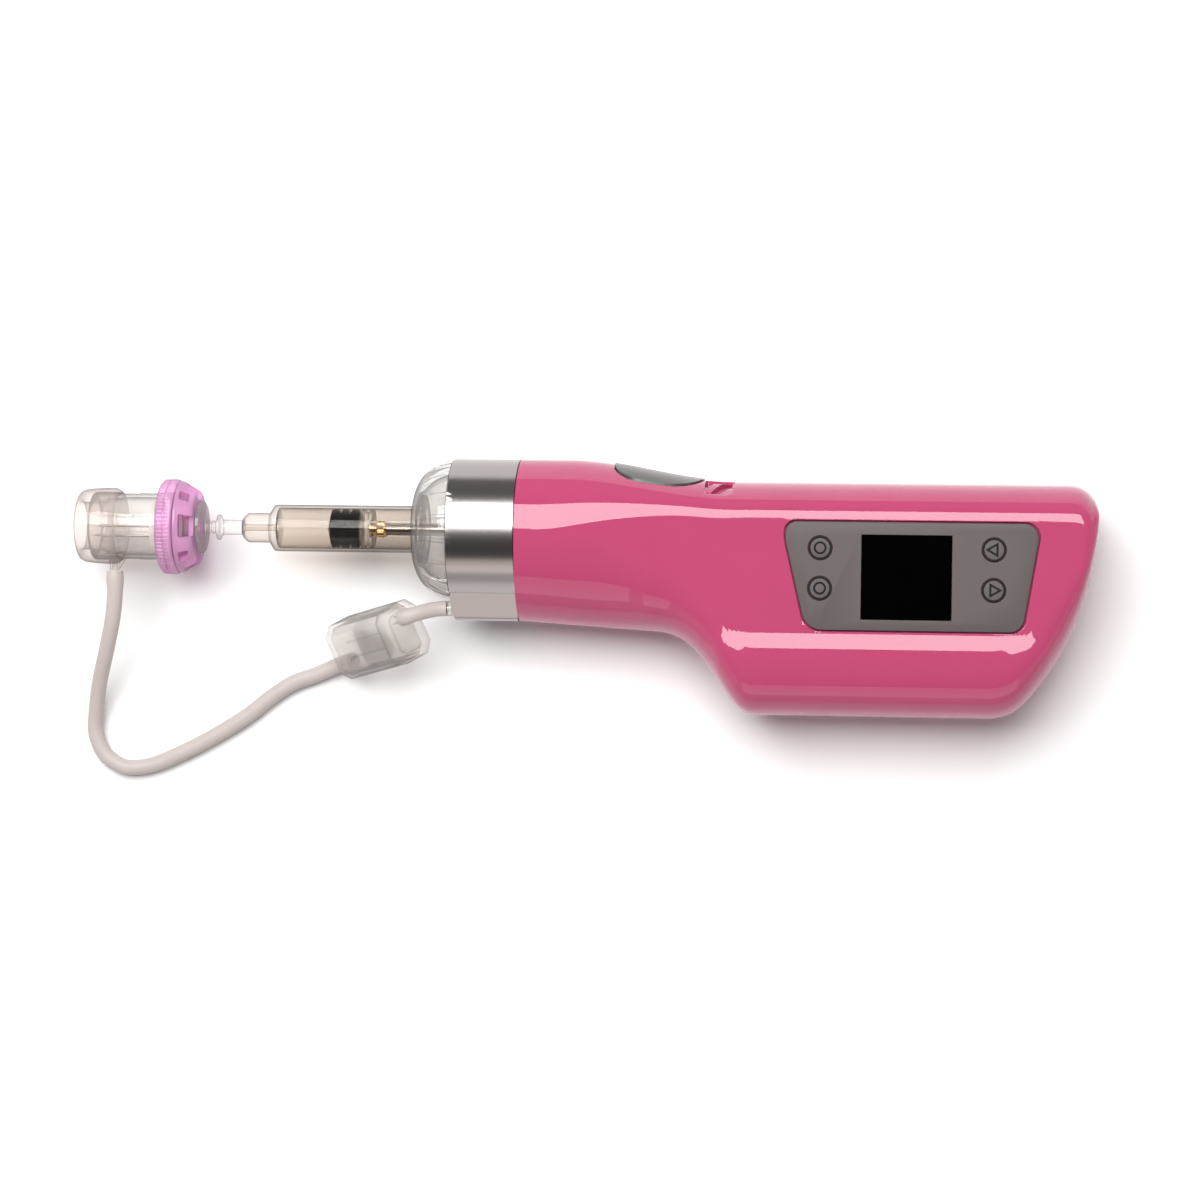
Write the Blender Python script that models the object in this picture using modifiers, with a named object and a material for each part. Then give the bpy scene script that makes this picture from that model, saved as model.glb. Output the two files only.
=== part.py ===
"""Cordless vacuum injection gun, at rest on its back with the display facing up.

Metres, +Z up. -X is the needle end, +Y the thumb button's side, -Y the flat base.
The origin is at the middle of the body's footprint, on the surface that it lies on.
Lengths below are millimetres and become metres where a shape is made.
"""

import math

import bmesh
import bpy
from mathutils import Euler, Matrix, Vector

MM = 0.001

# Driving dimensions, in millimetres.
GAP = 0.3  # clearance between pieces that touch
RUNNING = 0.3  # clearance of pieces that move in each other

AXIS_Y = 16.4  # the plunger's axis
AXIS_Z = 21.6
NOSE_R = 21.4  # outside of the nose ring and of the body's front
WALL = 2.0  # housing wall

SHELL_FRONT = -17.8  # where the pink body meets the nose ring
BODY_LENGTH = 171.1
REAR_TOP = 31.7
BASE = -37.8  # the flat base
KEEL_BOTTOM = -10.8
REAR_HALF_DEPTH = 20.0  # middle plane to display face
LOBE_RISE = 0.9  # how far the lower lobe stands above the display face

RING_LENGTH = 20.3
RING_WALL = 2.4
SPIGOT_LENGTH = 7.0  # how far the housing reaches into the ring
SPIGOT_WALL = 1.4
CAP_SKIRT = 5.0  # how far the cap reaches into the ring
KEEL_HALF_WIDTH = 8.0
CAP_LENGTH = 12.3  # visible length of the clear nose cap
CAP_WALL = 1.6

BARREL_R = 7.05  # a 5 ml syringe
BARREL_WALL = 0.9
BARREL_FLANGE_R = 10.5
BARREL_LENGTH = 46.0
SHOULDER_X = -92.9  # where the syringe barrel narrows
COLLAR_LENGTH = 8.4
STOPPER_X = -75.5  # front face of the stopper's first rib
STOPPER_LENGTH = 8.8
HOLDER_LENGTH = 3.6
ROD_R = 1.9
TRAVEL_OUT = 14.0  # plunger towards the needles
TRAVEL_BACK = 15.0

CUP_R = 11.4
CUP_LENGTH = 12.8
HEAD_R = 10.05
HEAD_WALL = 1.2
HEAD_FRONT = -153.3
DIAL_R = 14.4
DIAL_FRONT = -127.4
DIAL_LENGTH = 5.2
REAR_CAP_LENGTH = 5.4
NEEDLES = 5
NEEDLE_CIRCLE = 4.2
NEEDLE_DEPTH = 5.0  # how far the points sit behind the cup's mouth
PORT_X = -142.4

SCREW_R = 2.5
CARRIAGE_R = 6.0
CARRIAGE_FRONT = 2.0
BEARING_R = 5.5
MOTOR_R = 8.0
MOTOR_LENGTH = 28.0
GEARBOX_LENGTH = 20.0

PANEL_DEPTH = 1.2
KEY_R = 3.5
KEY_TRAVEL = 0.4
KEY_PITCH = 11.8
DISPLAY_LENGTH = 26.5
DISPLAY_WIDTH = 24.9
BOARD_THICKNESS = 1.6

BUTTON_LENGTH = 27.0
BUTTON_WIDTH = 25.0
BUTTON_TRAVEL = 1.0
BUTTON_PROUD = 0.5

CELL_R = 9.1
CELL_LENGTH = 65.0
PUMP_R = 8.0

HOSE_R = 2.5
BEND = 4.8  # how firmly the short hose keeps the direction of its two ports
FILTER_LENGTH = 28.0
FILTER_WIDTH = 17.8
FILTER_DEPTH = 15.0
FILTER_CORNER = 3.0
LID_LENGTH = 4.0
FILTER_WALL = 1.2

SIDES = 24

# Places that follow from them.
TAIL = SHELL_FRONT + BODY_LENGTH
PANEL_LEFT = TAIL - 91.3
PANEL_RIGHT = TAIL - 16.6
PANEL_TOP = 19.8
PANEL_BOTTOM = -12.0
DISPLAY_X = TAIL - 55.7
DISPLAY_Y = 3.65
KEY_COLUMNS = (TAIL - 80.9, TAIL - 30.4)
KEY_ROWS = (0.25, 0.25 + KEY_PITCH)
FACE_Z = AXIS_Z + REAR_HALF_DEPTH
BUTTON_X = SHELL_FRONT + 41.3
BUTTON_SLOPE = math.radians(10.5)
ROD_BACK = CARRIAGE_FRONT + 2.5
SCREW_TIP = CARRIAGE_FRONT + 3.0 + TRAVEL_BACK + 0.5
CARRIAGE_LENGTH = SCREW_TIP + TRAVEL_OUT + 7.5 - CARRIAGE_FRONT
BEARING_X = CARRIAGE_FRONT + CARRIAGE_LENGTH + TRAVEL_BACK + 0.6
GEARBOX_X = BEARING_X + 6.0
MOTOR_X = GEARBOX_X + GEARBOX_LENGTH + GAP
RING_FRONT = SHELL_FRONT - RING_LENGTH
PORT_Y = AXIS_Y - NOSE_R - 2.3  # the vacuum port, inside the ring's keel
PORT_Z = AXIS_Z + 2.5
DIAL_BACK = DIAL_FRONT + DIAL_LENGTH
REAR_CAP_BACK = DIAL_BACK + GAP + REAR_CAP_LENGTH
BARREL_BACK = SHOULDER_X + BARREL_LENGTH
BORE_R = BARREL_R - BARREL_WALL
CELL_X = TAIL - 97.0
PUMP_X = TAIL - 98.0
BOARD_TOP = FACE_Z - 7.0

parts = None
cutters = None


def clear_scene():
    for obj in list(bpy.data.objects):
        bpy.data.objects.remove(obj, do_unlink=True)


def make_collections():
    """One collection for the parts, one for what only cuts."""
    found = []
    for name in ("vacuum_injection_gun", "cutters"):
        group = bpy.data.collections.new(name)
        bpy.context.scene.collection.children.link(group)
        found.append(group)
    return found


def material(name, colour, roughness, metallic=0.0, alpha=1.0):
    made = bpy.data.materials.new(name)
    made.use_nodes = True
    shader = made.node_tree.nodes["Principled BSDF"]
    shader.inputs["Base Color"].default_value = (*colour, 1.0)
    shader.inputs["Roughness"].default_value = roughness
    shader.inputs["Metallic"].default_value = metallic
    shader.inputs["Alpha"].default_value = alpha
    return made


def make_materials():
    return {
        "pink": material("pink_abs", (0.66, 0.08, 0.21), 0.15),
        "silver": material("satin_silver", (0.55, 0.52, 0.5), 0.3, 1.0),
        "steel": material("steel", (0.6, 0.6, 0.6), 0.25, 1.0),
        "brass": material("brass", (0.7, 0.5, 0.2), 0.25, 1.0),
        "rubber": material("black_rubber", (0.01, 0.01, 0.01), 0.5),
        "clear": material("clear_plastic", (0.85, 0.82, 0.8), 0.1, 0.0, 0.35),
        "frosted": material("silicone", (0.75, 0.7, 0.67), 0.45, 0.0, 0.8),
        "purple": material("purple_plastic", (0.55, 0.12, 0.5), 0.15, 0.0, 0.7),
        "grey": material("grey_panel", (0.17, 0.15, 0.145), 0.4),
        "black": material("black_glass", (0.005, 0.005, 0.005), 0.1),
        "white": material("white_nylon", (0.7, 0.7, 0.68), 0.4),
        "green": material("circuit_board", (0.02, 0.15, 0.06), 0.4),
        "cell": material("cell_sleeve", (0.05, 0.12, 0.35), 0.3),
    }


def finish(obj, paint, group=None):
    """Put an object in its collection with its material, shaded smooth."""
    (group or parts).objects.link(obj)
    obj.data.materials.append(paint)
    if obj.type == "MESH":
        obj.data.shade_smooth()
        obj.data.set_sharp_from_angle(angle=math.radians(35))
    return obj


def mesh_object(name, mesh, paint, group=None):
    return finish(bpy.data.objects.new(name, mesh), paint, group)


def as_cutter(obj):
    """Keep an object out of the render and out of the parts."""
    for group in list(obj.users_collection):
        group.objects.unlink(obj)
    cutters.objects.link(obj)
    obj.hide_render = True
    obj.display_type = "WIRE"
    return obj


def boolean(target, other, operation):
    modifier = target.modifiers.new(operation.lower(), "BOOLEAN")
    modifier.operation = operation
    modifier.object = other
    as_cutter(other)
    return target


def cut(target, *others):
    for other in others:
        boolean(target, other, "DIFFERENCE")
    return target


def join(target, *others):
    for other in others:
        boolean(target, other, "UNION")
    return target


def box(name, low, high, paint, bevel=0.0):
    """A block between two corners."""
    low, high = Vector(low) * MM, Vector(high) * MM
    made = bmesh.new()
    bmesh.ops.create_cube(made, size=1.0)
    bmesh.ops.scale(made, vec=high - low, verts=made.verts)
    mesh = bpy.data.meshes.new(name)
    made.to_mesh(mesh)
    made.free()
    obj = mesh_object(name, mesh, paint)
    obj.location = (low + high) / 2
    if bevel:
        edge = obj.modifiers.new("edges", "BEVEL")
        edge.width = bevel * MM
        edge.segments = 2
    return obj


def rod(name, start, end, radius, paint, sides=SIDES):
    """A round bar between two points."""
    start, end = Vector(start) * MM, Vector(end) * MM
    made = bmesh.new()
    bmesh.ops.create_cone(
        made,
        cap_ends=True,
        segments=sides,
        radius1=radius * MM,
        radius2=radius * MM,
        depth=(end - start).length,
    )
    mesh = bpy.data.meshes.new(name)
    made.to_mesh(mesh)
    made.free()
    obj = mesh_object(name, mesh, paint)
    obj.location = (start + end) / 2
    obj.rotation_euler = (end - start).to_track_quat("Z", "Y").to_euler()
    return obj


def turned(name, outer, inner, paint, centre=(0.0, AXIS_Y, AXIS_Z), sides=SIDES):
    """A turned piece about a line along X. Each outline is (x, radius) from front to back.

    With no inner outline the piece is solid: the outer one starts and ends on the axis.
    """
    outline = list(reversed(outer)) + list(inner)
    made = bmesh.new()
    points = [made.verts.new((r * MM, 0.0, x * MM)) for x, r in outline]
    for here, there in zip(points, points[1:]):
        made.edges.new((here, there))
    if inner:
        made.edges.new((points[-1], points[0]))
    mesh = bpy.data.meshes.new(name)
    made.to_mesh(mesh)
    made.free()
    obj = mesh_object(name, mesh, paint)
    obj.location = Vector(centre) * MM
    obj.rotation_euler = (0.0, math.pi / 2, 0.0)
    screw = obj.modifiers.new("turn", "SCREW")
    screw.steps = sides
    screw.render_steps = sides
    screw.use_merge_vertices = True
    screw.merge_threshold = 0.00001
    screw.use_smooth_shade = True
    return obj


def ring(name, x0, x1, outer, inner, paint, sides=SIDES):
    return turned(name, [(x0, outer), (x1, outer)], [(x0, inner), (x1, inner)], paint, sides=sides)


def smooth(x, low, high):
    """0 below low, 1 above high, an S between them."""
    t = min(max((x - low) / (high - low), 0.0), 1.0)
    return t * t * (3.0 - 2.0 * t)


def bezier(points, count=24):
    """Points along a cubic Bezier."""
    found = []
    for i in range(count + 1):
        t = i / count
        weights = ((1 - t) ** 3, 3 * t * (1 - t) ** 2, 3 * t * t * (1 - t), t**3)
        x = sum(w * p[0] for w, p in zip(weights, points))
        y = sum(w * p[1] for w, p in zip(weights, points))
        found.append((x, y))
    return found


def base_outline():
    """The lower outline of the body seen from the display side, front to back."""
    front = (SHELL_FRONT, KEEL_BOTTOM)
    neck = (SHELL_FRONT + 41.8, KEEL_BOTTOM - 2.7)
    lobe = (SHELL_FRONT + 70.8, BASE)
    heel = (TAIL - 32.3, BASE)
    slope = (TAIL - 18.3, BASE + 7.3)
    tip = (TAIL, REAR_TOP - 12.7)
    line = [front]
    line += bezier([neck, (neck[0] + 16, neck[1] - 1.3), (lobe[0] - 10, BASE), lobe])
    line += bezier([heel, (heel[0] + 7, BASE), (slope[0] - 3.5, slope[1] - 4.5), slope])
    line += bezier([slope, (slope[0] + 7, slope[1] + 8.5), (TAIL - 1.3, slope[1] + 24.5), tip])[1:]
    return line


BASE_LINE = base_outline()


def base_at(x):
    for (x0, y0), (x1, y1) in zip(BASE_LINE, BASE_LINE[1:]):
        if x <= x1:
            return y0 + (y1 - y0) * max(x - x0, 0.0) / max(x1 - x0, 1e-9)
    return BASE_LINE[-1][1]


def top_at(x):
    """The upper outline of the body: a drop behind the nose, and a rounded tail corner."""
    nose = AXIS_Y + NOSE_R
    top = nose + (REAR_TOP - nose) * smooth(x, SHELL_FRONT + 14.8, SHELL_FRONT + 62.8)
    u = min(max((x - TAIL + 8.3) / 8.3, 0.0), 1.0)
    return top - 7.5 * (1.0 - math.sqrt(1.0 - u * u))


def section(x, inset, back):
    """Half of the body's outline at x, from its top edge to its bottom edge, as (y, depth)."""
    nose_x = SHELL_FRONT
    top, bottom = top_at(x), base_at(x)
    roundness = smooth(x, nose_x + 5.8, nose_x + 55.8)
    span = 0.45 * (top - bottom)
    upper = min(NOSE_R + (11.6 - NOSE_R) * roundness, span)
    lobe = smooth(x, nose_x + 22.8, nose_x + 69.8)
    lower_y = AXIS_Y + (BASE + 20.3 - AXIS_Y) * lobe
    lower_y = max(lower_y, bottom + min(20.3, span))
    upper_y = top - upper
    lower_y = min(lower_y, upper_y)
    depth = NOSE_R + ((AXIS_Z if back else REAR_HALF_DEPTH) - NOSE_R) * roundness
    rise = 0.0 if back else LOBE_RISE * smooth(x, nose_x + 57.8, nose_x + 77.8)
    rise *= 1.0 - smooth(x, TAIL - 25.3, TAIL - 8.3)
    v = min(max((x - TAIL + 5.0) / 5.0, 0.0), 1.0)
    fall = 5.0 * (1.0 - math.sqrt(1.0 - v * v))
    depth = depth - fall - inset
    top, bottom = top - inset, bottom + inset
    points = []
    for i in range(8):
        t = math.pi / 2 * i / 7
        points.append((upper_y + (top - upper_y) * math.cos(t), depth * math.sin(t)))
    for f in (0.4, 0.8, 0.9):
        points.append((upper_y + (lower_y - upper_y) * f, depth + rise * smooth(f, 0.8, 1.0)))
    for i in range(9):
        t = math.pi / 2 * i / 8
        points.append((lower_y + (bottom - lower_y) * math.sin(t), (depth + rise) * math.cos(t)))
    return points


def body_stations():
    """Where the housing's sections are taken: closer where its outline turns."""
    near = [0.0, 14, 24, 33, 42, 50, 55, 59, 63, 68, 78]
    far = [45.0, 32.3, 26, 20, 15, 11, 7.5, 5, 3, 1.4, 0.4]
    return [SHELL_FRONT + d for d in near] + [TAIL - d for d in far]


def housing(name, inset, front_extra=0.0):
    """The body as one closed solid, drawn in by inset all round."""
    made = bmesh.new()
    rows = []
    for x in body_stations():
        front, back = section(x, inset, False), section(x, inset, True)
        loop = [(y, d) for y, d in front] + [(y, -d) for y, d in reversed(back[1:-1])]
        place = x
        if x > TAIL - 40:
            place = TAIL - 40 + (x - TAIL + 40) * (40 - inset) / 40
        if x == SHELL_FRONT:
            place -= front_extra
        rows.append([made.verts.new((place * MM, y * MM, (AXIS_Z + d) * MM)) for y, d in loop])
    for here, there in zip(rows, rows[1:]):
        for i in range(len(here)):
            j = (i + 1) % len(here)
            made.faces.new((here[i], here[j], there[j], there[i]))
    made.faces.new(reversed(rows[0]))
    made.faces.new(rows[-1])
    bmesh.ops.recalc_face_normals(made, faces=made.faces)
    mesh = bpy.data.meshes.new(name)
    made.to_mesh(mesh)
    made.free()
    return bpy.data.objects.new(name, mesh)


def rounded_outline(corners, steps=4):
    """Corners given as (x, y, radius), each turned into an arc."""
    found = []
    count = len(corners)
    for i, (x, y, radius) in enumerate(corners):
        here = Vector((x, y))
        before = (Vector(corners[i - 1][:2]) - here).normalized()
        after = (Vector(corners[(i + 1) % count][:2]) - here).normalized()
        half = before.angle(after) / 2
        centre = here + (before + after).normalized() * radius / math.sin(half)
        start = here + before * radius / math.tan(half) - centre
        end = here + after * radius / math.tan(half) - centre
        turn = start.angle_signed(end)
        for k in range(steps + 1):
            spun = start.copy()
            spun.rotate(Matrix.Rotation(-turn * k / steps, 2))
            found.append(centre + spun)
    return found


def plate(name, outline, thickness, paint, matrix):
    """A flat outline made into a plate of this thickness, about its own middle plane."""
    curve = bpy.data.curves.new(name, "CURVE")
    curve.dimensions = "2D"
    curve.fill_mode = "BOTH"
    curve.extrude = thickness / 2 * MM
    line = curve.splines.new("POLY")
    line.points.add(len(outline) - 1)
    for point, (x, y) in zip(line.points, outline):
        point.co = (x * MM, y * MM, 0.0, 1.0)
    line.use_cyclic_u = True
    shape = bpy.data.objects.new(name, curve)
    cutters.objects.link(shape)
    shape.matrix_world = matrix
    graph = bpy.context.evaluated_depsgraph_get()
    mesh = bpy.data.meshes.new_from_object(shape.evaluated_get(graph))
    made = bmesh.new()
    made.from_mesh(mesh)
    bmesh.ops.remove_doubles(made, verts=made.verts, dist=0.000001)
    bmesh.ops.recalc_face_normals(made, faces=made.faces)
    made.to_mesh(mesh)
    made.free()
    mesh.name = name
    bpy.data.objects.remove(shape, do_unlink=True)
    obj = mesh_object(name, mesh, paint)
    obj.matrix_world = matrix
    return obj


def at(x, y, z):
    return Matrix.Translation(Vector((x, y, z)) * MM)


def on_axis(x, radius=0.0, angle=0.0):
    """A point beside the plunger's axis."""
    return (x, AXIS_Y + radius * math.cos(angle), AXIS_Z + radius * math.sin(angle))


def curve_through(points, steps):
    """A Catmull-Rom curve through the given points."""
    points = [Vector(p) for p in points]
    ends = [2 * points[0] - points[1]] + points + [2 * points[-1] - points[-2]]
    found = []
    for a, b, c, d in zip(ends, ends[1:], ends[2:], ends[3:]):
        for k in range(steps):
            t = k / steps
            found.append(
                0.5
                * (
                    2 * b
                    + (c - a) * t
                    + (2 * a - 5 * b + 4 * c - d) * t * t
                    + (3 * b - a - 3 * c + d) * t**3
                )
            )
    found.append(points[-1])
    return found


def tube(name, points, radius, paint, steps=2, resolution=2):
    """A round flexible tube along a smooth route."""
    curve = bpy.data.curves.new(name, "CURVE")
    curve.dimensions = "3D"
    curve.bevel_depth = radius * MM
    curve.bevel_resolution = resolution
    curve.use_fill_caps = True
    route = curve_through(points, steps)
    line = curve.splines.new("POLY")
    line.points.add(len(route) - 1)
    for point, place in zip(line.points, route):
        point.co = (*(place * MM), 1.0)
    return finish(bpy.data.objects.new(name, curve), paint)


# The needle head.


def suction_cup(paint):
    """A soft cap over the front of the head, open at both ends."""
    front, back = HEAD_FRONT, HEAD_FRONT + CUP_LENGTH
    seat = HEAD_R + GAP
    outer = [(front, CUP_R - 2.6), (front + 0.9, CUP_R - 0.9), (front + 2.6, CUP_R)]
    outer += [(back - 1.6, CUP_R + 0.3), (back, CUP_R - 0.6)]
    inner = [(front, CUP_R - 4.2), (front + 4.4, CUP_R - 4.2), (front + 4.5, seat), (back, seat)]
    return turned("suction_cup", outer, inner, paint)


def head_barrel(paint):
    """Clear cylinder under the cup, with the hose port on its lower side."""
    front, back = HEAD_FRONT + 4.5 + GAP, DIAL_FRONT + 2.0
    bore = HEAD_R - HEAD_WALL
    outer = [(front, HEAD_R), (back, HEAD_R)]
    inner = [(front, bore), (back, bore)]
    barrel = turned("head_barrel", outer, inner, paint)
    foot = (PORT_X, AXIS_Y - HEAD_R + 0.6, AXIS_Z)
    tip = (PORT_X, AXIS_Y - HEAD_R - 3.4, AXIS_Z)
    join(barrel, rod("port_stub", foot, tip, 1.5, paint, 16))
    cut(
        barrel,
        rod("port_bore", on_axis(PORT_X, 7.0, math.pi), on_axis(PORT_X, 15.0, math.pi), 0.8, paint, 12),
    )
    return barrel


def cup_slot():
    """The notch that lets the hose port through the cup's rim."""
    return on_axis(PORT_X, HEAD_R - 0.45, math.pi), on_axis(PORT_X, CUP_R + 1.2, math.pi)


def needle_head(paints):
    cup = suction_cup(paints["frosted"])
    low, high = cup_slot()
    cut(cup, rod("cup_notch", low, high, 1.5 + GAP, paints["frosted"], 16))
    head_barrel(paints["clear"])

    plate_x = DIAL_FRONT - 2.6
    plate_r = HEAD_R - HEAD_WALL - GAP
    back = REAR_CAP_BACK + 1.7
    carrier = turned(
        "needle_carrier",
        [(plate_x, 0.0), (plate_x, plate_r), (plate_x + 2.0, plate_r), (plate_x + 2.0, 5.0)]
        + [(DIAL_BACK - 0.6, 5.0), (DIAL_BACK - 0.6, 0.0)],
        [],
        paints["white"],
    )
    tip_x = HEAD_FRONT + NEEDLE_DEPTH
    for i in range(NEEDLES):
        radius = 0.0 if i == 0 else NEEDLE_CIRCLE
        angle = math.pi / 4 + math.pi / 2 * i
        root = on_axis(plate_x + 1.2, radius, angle)
        shank = on_axis(tip_x + 1.2, radius, angle)
        cut(
            carrier,
            rod(f"needle_hole_{i + 1}", on_axis(plate_x - 1, radius, angle), root, 0.65, paints["white"], 12),
        )
        turned(
            f"needle_{i + 1}",
            [(tip_x, 0.0), (shank[0], 0.35), (root[0] - GAP, 0.35), (root[0] - GAP, 0.0)],
            [],
            paints["steel"],
            centre=(0.0, root[1], root[2]),
            sides=12,
        )

    bore = HEAD_R + RUNNING
    turned(
        "depth_dial",
        [(DIAL_FRONT, DIAL_R - 0.6), (DIAL_FRONT + 0.6, DIAL_R), (DIAL_BACK - 0.6, DIAL_R)]
        + [(DIAL_BACK, DIAL_R - 0.6)],
        [(DIAL_FRONT, bore), (DIAL_FRONT + 4.0, bore), (DIAL_FRONT + 4.1, 6.5), (DIAL_BACK, 6.5)],
        paints["purple"],
        sides=28,
    )
    cap_x = DIAL_BACK + GAP
    cap = turned(
        "head_rear_cap",
        [(cap_x, DIAL_R - 0.8), (REAR_CAP_BACK, CUP_R)],
        [(cap_x, DIAL_R - 2.4), (REAR_CAP_BACK - 1.4, CUP_R - 1.6), (REAR_CAP_BACK - 1.3, 3.2)]
        + [(REAR_CAP_BACK, 3.2)],
        paints["purple"],
        sides=28,
    )
    for i in range(4):
        angle = math.pi / 4 + math.pi / 2 * i
        low, high = on_axis(cap_x + 2.4, 8.4, angle), on_axis(cap_x + 2.4, 15.0, angle)
        cut(cap, rod(f"cap_window_{i + 1}", low, high, 1.5, paints["purple"], 12))

    luer_stem = 2.25
    turned(
        "luer_hub",
        [(cap_x + 0.8, 0.0), (cap_x + 0.8, 2.9), (REAR_CAP_BACK + GAP, 2.9)]
        + [(REAR_CAP_BACK + GAP, 8.0), (back, 7.6), (back, 1.6), (back + 1.2, 1.6), (back + 1.2, 2.0)]
        + [(back + 2.4, 2.0), (back + 2.4, 1.6), (back + 3.8, 1.8), (back + 3.8, 3.9)]
        + [(back + 5.4, 3.9), (back + 5.4, luer_stem), (SHOULDER_X - COLLAR_LENGTH - 1.8, luer_stem)]
        + [(SHOULDER_X - COLLAR_LENGTH - 1.8, 0.0)],
        [],
        paints["clear"],
    )


# The syringe and its plunger.


def syringe(paints):
    collar_x = SHOULDER_X - 1.5
    front = collar_x - COLLAR_LENGTH
    flange = BARREL_BACK
    barrel = turned(
        "syringe_barrel",
        [(front, 3.0), (front + 1.6, 4.5), (collar_x, 4.5), (collar_x + 0.1, 5.0)]
        + [(SHOULDER_X, BARREL_R), (flange - 1.6, BARREL_R), (flange - 1.5, BARREL_FLANGE_R)]
        + [(flange, BARREL_FLANGE_R)],
        [(front, 1.0), (SHOULDER_X, 1.0), (SHOULDER_X + 0.9, BORE_R), (flange, BORE_R)],
        paints["clear"],
    )
    stopper_r = BORE_R - GAP
    groove = stopper_r - 1.1
    third = STOPPER_LENGTH / 3
    outline = [(STOPPER_X - 1.6, 0.0), (STOPPER_X, stopper_r - 0.8)]
    for i in range(3):
        x = STOPPER_X + third * i
        outline += [(x + 0.25, stopper_r), (x + third - 0.75, stopper_r)]
        if i < 2:
            outline += [(x + third - 0.5, groove), (x + third, groove)]
    back = STOPPER_X + STOPPER_LENGTH
    outline += [(back, groove), (back, 0.0)]
    turned("plunger_stopper", outline, [], paints["rubber"])

    tip_front = back + GAP + 2.2
    holder_back = back + GAP + HOLDER_LENGTH
    turned(
        "plunger_holder",
        [(back + GAP, 0.0), (back + GAP, stopper_r), (holder_back, stopper_r)]
        + [(holder_back, 2.6), (tip_front, 2.6), (tip_front, 0.0)],
        [],
        paints["clear"],
    )
    brass_back = tip_front + 5.3
    turned(
        "plunger_tip",
        [(tip_front + GAP, 0.0), (tip_front + GAP, 2.3), (holder_back + GAP, 2.3)]
        + [(holder_back + GAP + 0.1, 2.4), (brass_back, 2.4), (brass_back, ROD_R + GAP)]
        + [(tip_front + 2.4, ROD_R + GAP), (tip_front + 2.4, 0.0)],
        [],
        paints["brass"],
    )
    rod(
        "push_rod",
        on_axis(tip_front + 2.4 + GAP),
        on_axis(ROD_BACK),
        ROD_R,
        paints["steel"],
        24,
    )


# The nose.


def nose(paints):
    cap_front = RING_FRONT - CAP_LENGTH
    bore = NOSE_R - RING_WALL
    lip = RING_FRONT
    hole = BARREL_R + RUNNING
    flange_room = BARREL_FLANGE_R + 2 * RUNNING
    dome = CAP_LENGTH - GAP
    skirt = bore - GAP
    outer, inner = [], [(cap_front, hole), (cap_front + CAP_WALL, hole)]
    inner.append((cap_front + CAP_WALL + 0.05, flange_room))
    for i in range(9):
        t = math.pi / 2 * i / 8
        rise = math.sin(t)
        x = lip - GAP - dome * math.cos(t)
        outer.append((x, hole + 0.3 + (NOSE_R - 0.3 - hole - 0.3) * rise))
        room = hole + (skirt - 2.0 - hole) * rise
        if room > flange_room + 0.5 and i < 8:
            inner.append((x + CAP_WALL * 0.7, room))
    outer += [(lip - GAP + 0.05, skirt), (lip + CAP_SKIRT, skirt)]
    inner.append((lip + CAP_SKIRT, skirt - 2.0))
    turned("nose_cap", outer, inner, paints["clear"])
    nose_ring = ring("nose_ring", RING_FRONT, SHELL_FRONT - GAP, NOSE_R, bore, paints["silver"], 40)
    crease = AXIS_Y - NOSE_R
    bottom = KEEL_BOTTOM
    outline = rounded_outline(
        [
            (-KEEL_HALF_WIDTH, bottom, 3.0),
            (KEEL_HALF_WIDTH, bottom, 3.0),
            (KEEL_HALF_WIDTH + 2.5, crease + 3.4, 0.5),
            (-KEEL_HALF_WIDTH - 2.5, crease + 3.4, 0.5),
        ]
    )
    length = RING_LENGTH - GAP
    stand = at(RING_FRONT + length / 2, 0.0, AXIS_Z) @ Matrix.Rotation(math.pi / 2, 4, "Y")
    join(nose_ring, plate("keel", outline, length, paints["silver"], stand))
    hollow = [(z * 0.72, y if y > crease else y + 1.8) for z, y in outline]
    inside = at(RING_FRONT + length / 2 + 2.0, 0.0, AXIS_Z) @ Matrix.Rotation(math.pi / 2, 4, "Y")
    cut(nose_ring, plate("keel_hollow", hollow, length, paints["silver"], inside))
    cut(nose_ring, ring_bore(paints["silver"], bore))
    front = RING_FRONT
    slant = box("keel_slant", (-3.0, -8.0, -20.0), (3.0, 8.0, 20.0), paints["silver"])
    slant.location = Vector((front - 1.0, bottom - 2.0, AXIS_Z)) * MM
    slant.rotation_euler = (0.0, 0.0, math.radians(30))
    cut(nose_ring, slant)
    before, behind = (front - 3, PORT_Y, PORT_Z), (front + 6, PORT_Y, PORT_Z)
    cut(nose_ring, rod("keel_port_hole", before, behind, 2.2 + GAP, paints["silver"], 20))
    turned(
        "vacuum_port",
        [(front - 1.6, 2.2), (front + 3.4, 2.2), (front + 3.5, 1.5), (front + 9.0, 1.5)],
        [(front - 1.6, 0.8), (front + 9.0, 0.8)],
        paints["clear"],
        centre=(0.0, PORT_Y, PORT_Z),
        sides=20,
    )


def ring_bore(paint, bore):
    """Opens the ring right through again where the keel was joined on."""
    return rod(
        "ring_bore",
        on_axis(RING_FRONT - 1.0),
        on_axis(SHELL_FRONT + 1.0),
        bore,
        paint,
        48,
    )


# The drive.


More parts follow.
